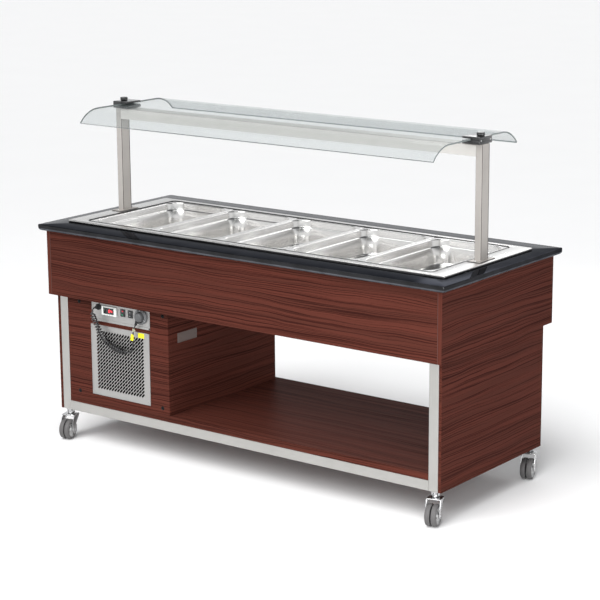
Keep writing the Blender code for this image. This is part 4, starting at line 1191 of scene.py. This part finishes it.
class TROLLEY_OT_machinery(bpy.types.Operator):
    """Compressor, condenser, fan and pipes behind the grille"""
    bl_idname = "trolley.machinery"
    bl_label = "Machinery"

    def execute(self, context):
        self.compressor()
        self.condenser()
        self.fan()
        return {"FINISHED"}

    def compressor(self):
        low, _, (x, y, _) = span("compressor")
        foot = low.z
        piece = Piece("hermetic_compressor")
        piece.add(turned([(0, 0.185), (0.018, 0.1845), (0.034, 0.181), (0.048, 0.173),
            (0.058, 0.162), (0.0645, 0.148), (0.066, 0.138), (0.066, 0.1055), (0.07, 0.105),
            (0.07, 0.0985), (0.066, 0.098), (0.066, 0.045), (0.062, 0.03), (0.054, 0.02),
            (0.046, 0.015), (0.045, 0.006), (0.045, 0.0), (0, 0)], 48), "paint_black",
            moved((x, y, foot)))
        for k in range(4):
            turn = rotated(45 + 90 * k, "Z")
            at = moved((x, y, foot)) @ turn @ moved((0.055, 0, 0))
            piece.add(turned([(0, 0.012), (0.007, 0.012), (0.008, 0.01), (0.006, 0.006),
                (0.008, 0.002), (0.008, 0), (0, 0)], 20), "matt_black", at)
        piece.add(block((x - 0.02, y - 0.07, foot + 0.06), (x + 0.02, y - 0.06,
            foot + 0.095), 0.003), "matt_black")
        piece.done(stands_for=["compressor"])
        pipes = Piece("copper_pipes")
        coil_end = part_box("condenser")[1].x
        beside = coil_end + 0.006
        routes = (
            [(x + 0.02, y - 0.02, foot + 0.18), (x + 0.024, y - 0.03, foot + 0.215),
             (beside - 0.006, y - 0.1, foot + 0.225), (beside, y - 0.18, foot + 0.235),
             (beside, -0.215, foot + 0.24), (beside, -0.25, foot + 0.24),
             (coil_end - 0.001, -0.272, foot + 0.24)],
            [(x - 0.03, y + 0.01, foot + 0.176), (x - 0.04, y + 0.02, foot + 0.26),
             (x - 0.07, y + 0.03, foot + 0.36), (x - 0.08, y + 0.02, foot + 0.45),
             (x - 0.08, y + 0.02, foot + 0.51)])
        for route in routes:
            pipes.add(piped(smooth_route(route, 0.008), 0.004, 12), "copper")
        pipes.done()

    def condenser(self):
        low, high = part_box("condenser")
        foot = high.z - 0.24
        piece = Piece("finned_condenser")
        piece.add(block((low.x, low.y, foot), (low.x + 0.0015, high.y, high.z), 0.0004, 1),
            "grey_sheet")
        piece.add(block((high.x - 0.0015, low.y, foot), (high.x, high.y, high.z), 0.0004, 1),
            "grey_sheet")
        count = 48
        for k in range(1, count):
            x = low.x + (high.x - low.x) * k / count
            piece.add(block((x - 0.0004, low.y + 0.002, foot + 0.002),
                (x + 0.0004, high.y - 0.002, high.z - 0.002)), "fins")
        for row in range(8):
            z = foot + 0.018 + row * 0.029
            for y in (low.y + 0.014, high.y - 0.014):
                piece.add(piped([Vector((low.x, y, z)), Vector(((low.x + high.x) / 2, y, z)),
                    Vector((high.x, y, z))], 0.0042, 10), "copper")
        for x in (low.x + 0.03, high.x - 0.03):
            piece.add(block((x - 0.01, low.y + 0.013, low.z), (x + 0.01, high.y - 0.013,
                foot + 0.004), 0.0008), "grey_sheet")
        piece.done(stands_for=["condenser"])

    def fan(self):
        low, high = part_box("fan_motor")
        x, z = (low.x + high.x) / 2, high.z - 0.036
        motor = Piece("fan_motor_can")
        motor.add(turned([(0, 0.06), (0.012, 0.06), (0.014, 0.057), (0.031, 0.056),
            (0.0345, 0.053), (0.036, 0.048), (0.036, 0.012), (0.0345, 0.007), (0.031, 0.004),
            (0.01, 0.003), (0.008, 0.0), (0, 0)], 40), "paint_black", on_front((x, high.y, z)))
        for leg in (-0.027, 0.021):
            motor.add(block((x + leg, low.y + 0.0165, low.z), (x + leg + 0.006, low.y + 0.0205, z),
                0.001), "grey_sheet")
        motor.done(stands_for=["fan_motor"])
        centre = Vector((x, -0.19, z))
        rotor = Piece("fan_blades")
        rotor.add(turned([(0, 0.013), (0.012, 0.0125), (0.019, 0.01), (0.022, 0.005),
            (0.022, -0.0125), (0.0215, -0.013), (0, -0.013)], 36), "matt_black", on_front(centre))
        blades = 5
        for blade in range(blades):
            faces = []
            for step in range(9):
                out = 0.016 + 0.087 * step / 8
                twist = radians(34 - 14 * step / 8)
                half = 0.013 + 0.013 * sin(pi * min(1.0, 0.25 + 0.6 * step / 8))
                bow = 0.0022
                ring = []
                for side in (1, -1):
                    for k in range(7):
                        share = (k / 3 - 1) * side
                        thick = 0.0009 * (1 - 0.6 * abs(share))
                        across, raised = half * share, bow * (1 - share * share) + side * thick
                        ring.append((across * cos(twist) - raised * sin(twist),
                            across * sin(twist) + raised * cos(twist), out))
                faces.append(ring)
            turn = moved(centre) @ rotated(360 * blade / blades, "Y")
            rotor.add(bridged(faces), "matt_black", turn)
        rotor.done("fan", ["fan_rotor"], 40)


class TROLLEY_OT_canopy(bpy.types.Operator):
    """Posts, light channel, bent glass and its clamps with their knobs"""
    bl_idname = "trolley.canopy"
    bl_label = "Canopy"

    def execute(self, context):
        repaint("satin_level", "light_channel")
        repaint("opal", "light_diffuser")
        for side, name in SIDES:
            repaint("satin_upright", f"canopy_post_{name}")
            self.post_details(side, name)
            self.clamp(side, name)
        self.channel_details()
        self.glass()
        return {"FINISHED"}

    def post_details(self, side, name):
        """Dark lines beside the cover strip, painted shade of its grooves; the foot's gasket and
        its two screws.
        """
        low, high, (centre, _, _) = span(f"canopy_post_{name}")
        half_x, half_y = 0.01275, 0.025
        foot = low.z
        # Painted shade: a dark line at each groove beside the cover strip.
        groove_shade = Piece(f"post_groove_shade_{name}")
        for x_side in (-1, 1):
            for y_side in (-1, 1):
                x = centre + x_side * half_x
                y = y_side * (half_y - 0.0022)
                groove_shade.add(block((x - 0.0004, y - 0.0014, foot + 0.0035),
                    (x + 0.0004, y + 0.0014, high.z - 0.001), 0.0002, 1), "groove_shade_dark")
        groove_shade.done()
        base = Piece(f"post_foot_{name}")
        base.add(block((centre - 0.0264, -0.0514, foot), (centre + 0.0264, 0.0514, foot + 0.0016),
            0.0004, 1), "matt_black")
        for y in (-0.039, 0.039):
            base.add(screw_head(0.0045, 0.0024), "chrome", moved((centre, y, foot + 0.003)))
        base.add(block((centre - 0.0145, -0.0268, foot + 0.003), (centre + 0.0145, 0.0268,
            foot + 0.0046), 0.0006), "satin_upright")
        base.done()

    def channel_details(self):
        low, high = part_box("light_channel")
        trim = Piece("channel_trim")
        for y in (low.y + 0.0004, high.y - 0.0004):
            trim.add(block((low.x + 0.001, y - 0.0006, high.z - 0.0016),
                (high.x - 0.001, y + 0.0006, high.z - 0.0004), 0.0003, 1), "seam_brown")
        for end in (low.x, high.x):
            inside = 1 if end < 0 else -1
            xs = sorted((end + inside * 0.0004, end + inside * 0.003))
            trim.add(block((xs[0], low.y + 0.0016, low.z + 0.0004),
                (xs[1], high.y - 0.0016, high.z - 0.0018), 0.0006), "satin_level")
        trim.done()

    def glass(self):
        top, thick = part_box("canopy_glass")[1].z, 0.006
        half_x, flat, radius, sweep = 0.825, 0.174, 0.133, radians(51.3)
        line = []
        steps = 24
        for step in range(steps, 0, -1):
            turn = sweep * step / steps
            line.append((-flat - radius * sin(turn), top - radius * (1 - cos(turn)), turn))
        line += [(-flat + 2 * flat * k / 8, top, 0.0) for k in range(9)]
        line += [(-y, z, -turn) for y, z, turn in reversed(line[:steps])]
        part = bmesh.new()
        soft = 0.0006
        rows = []
        for x, inset in ((-half_x, soft), (-half_x + soft, 0), (half_x - soft, 0), (half_x, soft)):
            upper, lower = [], []
            for y, z, turn in line:
                out = Vector((x, y, z))
                down = Vector((0, sin(turn), -cos(turn)))
                upper.append(part.verts.new(out + down * inset))
                lower.append(part.verts.new(out + down * (thick - inset)))
            rows.append(upper + lower[::-1])
        count = len(rows[0])
        edge_faces = []
        for number, (first, second) in enumerate(zip(rows, rows[1:])):
            for i in range(count):
                j = (i + 1) % count
                face = part.faces.new((first[i], second[i], second[j], first[j]))
                if number != 1 or i in (count // 2 - 1, count - 1):
                    edge_faces.append(face)
        for row in (rows[0], rows[-1]):
            for i in range(count // 2 - 1):
                edge_faces.append(part.faces.new((row[i], row[i + 1], row[count - 2 - i],
                    row[count - 1 - i])))
        bmesh.ops.recalc_face_normals(part, faces=part.faces)
        for face in part.faces:
            face.material_index = 0
        for face in edge_faces:
            face.material_index = 1
        data = bpy.data.meshes.new("bent_glass")
        part.to_mesh(data)
        part.free()
        data.materials.append(finish("canopy_glass"))
        data.materials.append(finish("canopy_glass_edge"))
        data.shade_smooth()
        data.set_sharp_from_angle(angle=radians(35))
        sheet = linked("bent_glass", data)
        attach(sheet, "base")
        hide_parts("canopy_glass")

    def clamp(self, side, name):
        """Two jaws on the glass, a spine behind it, ribs, two screws and the fluted knob."""
        low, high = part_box(f"glass_clamp_{name}")
        glass_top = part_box("canopy_glass")[1].z
        under, over = glass_top - 0.0064, glass_top + 0.0004
        piece = Piece(f"clamp_{name}")
        piece.add(block((low.x, low.y, low.z), (high.x, high.y, under), 0.003, 3), "gloss_black")
        piece.add(block((low.x, low.y, over), (high.x, high.y, high.z), 0.0032, 4), "gloss_black")
        inner = 0.8268
        xs = sorted((side * inner, side * (max(abs(low.x), abs(high.x)) - 0.0006)))
        piece.add(block((xs[0], low.y + 0.001, low.z + 0.003), (xs[1], high.y - 0.001,
            high.z - 0.003), 0.0012), "gloss_black")
        for end in (-1, 1):
            for k in range(4):
                y = end * (0.0215 + k * 0.005)
                piece.add(block((low.x + 0.008, y - 0.001, high.z - 0.0008),
                    (high.x - 0.008, y + 0.001, high.z - 0.0001), 0.0003, 1), "matt_black")
        for y in (low.y + 0.012, high.y - 0.012):
            at = (side * (max(abs(low.x), abs(high.x)) - 0.0008), y, (low.z + high.z) / 2)
            piece.add(screw_head(0.0036, 0.0008), "chrome", moved(at) @ rotated(side * 90, "Y"))
        piece.done(stands_for=[f"glass_clamp_{name}"])
        low, high, centre = span(f"clamp_knob_{name}")
        radius, tall, flutes = (high.x - low.x) / 2, high.z - low.z, sizes().flutes
        rings = []
        for share, height, depth in ((0.8, 0.0, 0.0), (0.97, 0.0012, 0.6), (1.0, 0.0026, 1.0),
                (1.0, tall - 0.0036, 1.0), (0.96, tall - 0.0014, 0.8), (0.86, tall - 0.0003, 0.2),
                (0.74, tall, 0.0), (0.62, tall - 0.0006, 0.0), (0.2, tall - 0.0008, 0.0)):
            ring = []
            for k in range(flutes * 6):
                turn = 2 * pi * k / (flutes * 6)
                groove = 0.5 - 0.5 * cos(turn * flutes)
                reach = radius * share * (1 - 0.075 * depth * groove ** 2)
                ring.append((reach * cos(turn), reach * sin(turn), height))
            rings.append(ring)
        knob = Piece(f"fluted_knob_{name}")
        knob.add(bridged(rings), "gloss_black", moved((centre.x, centre.y, low.z)))
        knob.add(block((-0.0007, 0.0045, tall - 0.0009), (0.0007, 0.0105, tall - 0.0001),
                       0.0002, 1), "button_grey", moved((centre.x, centre.y, low.z)))
        knob.done(f"knob_{name}", [f"clamp_knob_{name}"])


class TROLLEY_OT_castors(bpy.types.Operator):
    """Four twin-wheel swivel castors"""
    bl_idname = "trolley.castors"
    bl_label = "Castors"

    trail, axle_height, wide, space, arm = 0.032, 0.04, 0.02, 0.005, 0.003

    def execute(self, context):
        for row in ("front", "rear"):
            for _, side in SIDES:
                self.castor(f"{row}_{side}")
        return {"FINISHED"}

    def castor(self, label):
        _, high, (x, y, _) = span(f"castor_stem_{label}")
        top = high.z
        stem = Piece(f"stem_{label}")
        at = moved((x, y, 0))
        stem.add(turned([(0, top), (0.0186, top), (0.019, top - 0.0005), (0.019, top - 0.003),
            (0.0184, top - 0.0038), (0.016, top - 0.0048), (0.0155, top - 0.0056),
            (0.0155, 0.1035), (0.015, 0.1015), (0.0138, 0.0995), (0.012, 0.0986),
            (0.0052, 0.0985), (0.005, 0.089), (0.004, 0.0885), (0, 0.0885)], 40), "chrome", at)
        hexagon = [(0.0172 * cos(pi * k / 3), 0.0172 * sin(pi * k / 3)) for k in range(6)]
        stem.add(prism(hexagon, 0.006, 0.0006), "chrome", at @ moved((0, 0, top - 0.008)))
        stem.done(stands_for=[f"castor_stem_{label}"])
        swivel = at @ rotated(16, "Z")
        self.fork(label, swivel)
        self.wheel(label, swivel)

    def fork(self, label, swivel):
        inner = self.wide + self.space / 2 + 0.002
        outer = inner + self.arm
        piece = Piece(f"fork_{label}")
        piece.add(block((-outer, -0.03, 0.093), (outer, 0.017, 0.0976), 0.0018, 3), "chrome",
            swivel)
        piece.add(turned([(0.0058, 0.0979), (0.0118, 0.0979), (0.0165, 0.0962), (0.02, 0.0945),
            (0.021, 0.0935), (0.02, 0.0925), (0.0058, 0.0925)], 40, True), "chrome", swivel)
        hub = 0.0115
        for side in (-1, 1):
            ring = [(0.0165, 0.0962), (0.0145, 0.0972), (-0.0245, 0.0972), (-0.0275, 0.0958),
                (-0.0312, 0.088), (-0.0395, 0.065)]
            for step in range(13):
                turn = pi + pi * step / 12
                ring.append((-self.trail + hub * cos(turn), self.axle_height + hub * sin(turn)))
            ring += [(-0.015, 0.056), (-0.004, 0.069), (0.008, 0.079), (0.0155, 0.087)]
            place = moved((side * (inner + self.arm / 2), 0, 0)) @ ALONG_X
            piece.add(prism(ring, self.arm, 0.0007), "chrome", swivel @ place)
            axle = moved((side * outer, -self.trail, self.axle_height))
            face = rotated(side * 90, "Y")
            piece.add(turned([(0, 0.0015), (0.0046, 0.0015), (0.0058, 0.0007), (0.006, 0.0),
                (0.006, -0.0005), (0, -0.0005)], 24), "chrome", swivel @ axle @ face)
        bar = turned([(0, outer), (0.004, outer), (0.004, -outer), (0, -outer)], 24)
        piece.add(bar, "chrome", swivel @ moved((0, -self.trail, self.axle_height)) @ SIDEWAYS)
        piece.done(f"castor_{label}", [f"castor_fork_{label}"])

    def wheel(self, label, swivel):
        radius, edge, far = self.axle_height, self.space / 2, self.space / 2 + self.wide
        upright = swivel @ moved((0, -self.trail, self.axle_height)) @ SIDEWAYS
        piece = Piece(f"wheel_{label}")
        for side in (1, -1):
            facing = upright if side == 1 else upright @ rotated(180, "X")
            tyre = [(0.0315, far - 0.001), (0.0335, far - 0.0005), (0.036, far - 0.0014),
                (0.0382, far - 0.0034), (0.0396, far - 0.0068), (radius, far - 0.01),
                (radius, edge + 0.004), (0.0394, edge + 0.0014), (0.038, edge), (0.0315, edge)]
            piece.add(turned(tyre, 56, True), "wheel_grey", facing)
            rim = [(0.0048, far - 0.001), (0.01, far - 0.001), (0.0125, far - 0.0014),
                (0.014, far - 0.004), (0.0165, far - 0.0058), (0.0265, far - 0.0058),
                (0.029, far - 0.0042), (0.03, far - 0.0016), (0.0318, far - 0.0012),
                (0.0318, edge + 0.0003), (0.015, edge + 0.0003), (0.0048, edge + 0.0003)]
            piece.add(turned(rim, 48, True), "hub_alloy", facing)
            for k in range(5):
                spoke = rotated(360 * k / 5, "Z")
                piece.add(block((0.013, -0.0019, far - 0.0062), (0.0292, 0.0019, far - 0.0026),
                    0.0008), "hub_alloy", facing @ spoke)
        piece.add(turned([(0.0048, edge + 0.0004), (0.018, edge + 0.0004),
            (0.018, -edge - 0.0004), (0.0048, -edge - 0.0004)], 36, True), "matt_black", upright)
        piece.done(f"wheel_{label}", [f"castor_wheel_{label}"])


STEPS = (
    TROLLEY_OT_stage, TROLLEY_OT_lead, TROLLEY_OT_panels, TROLLEY_OT_worktop, TROLLEY_OT_deck,
    TROLLEY_OT_pans, TROLLEY_OT_frame, TROLLEY_OT_grille, TROLLEY_OT_controls, TROLLEY_OT_machinery,
    TROLLEY_OT_canopy, TROLLEY_OT_castors,
)


class TROLLEY_PT_build(bpy.types.Panel):
    """Lists the pieces with their sizes and colours"""
    bl_idname = "TROLLEY_PT_build"
    bl_label = "Buffet Trolley"
    bl_space_type = "VIEW_3D"
    bl_region_type = "UI"
    bl_category = "Trolley"

    def draw(self, context):
        for step in STEPS:
            self.layout.operator(step.bl_idname)
        for group in (sizes(), colours()):
            column = self.layout.column(align=True)
            for name in group.__annotations__:
                column.prop(group, name)


CLASSES = (TrolleySizes, TrolleyColours, *STEPS, TROLLEY_PT_build)


def register():
    for each in CLASSES:
        bpy.utils.register_class(each)
    bpy.types.Scene.trolley_sizes = PointerProperty(type=TrolleySizes)
    bpy.types.Scene.trolley_colours = PointerProperty(type=TrolleyColours)


def unregister():
    del bpy.types.Scene.trolley_colours
    del bpy.types.Scene.trolley_sizes
    for each in reversed(CLASSES):
        bpy.utils.unregister_class(each)


def main():
    register()
    for step in STEPS:
        group, name = step.bl_idname.split(".")
        getattr(getattr(bpy.ops, group), name)()


if __name__ == "__main__":
    main()
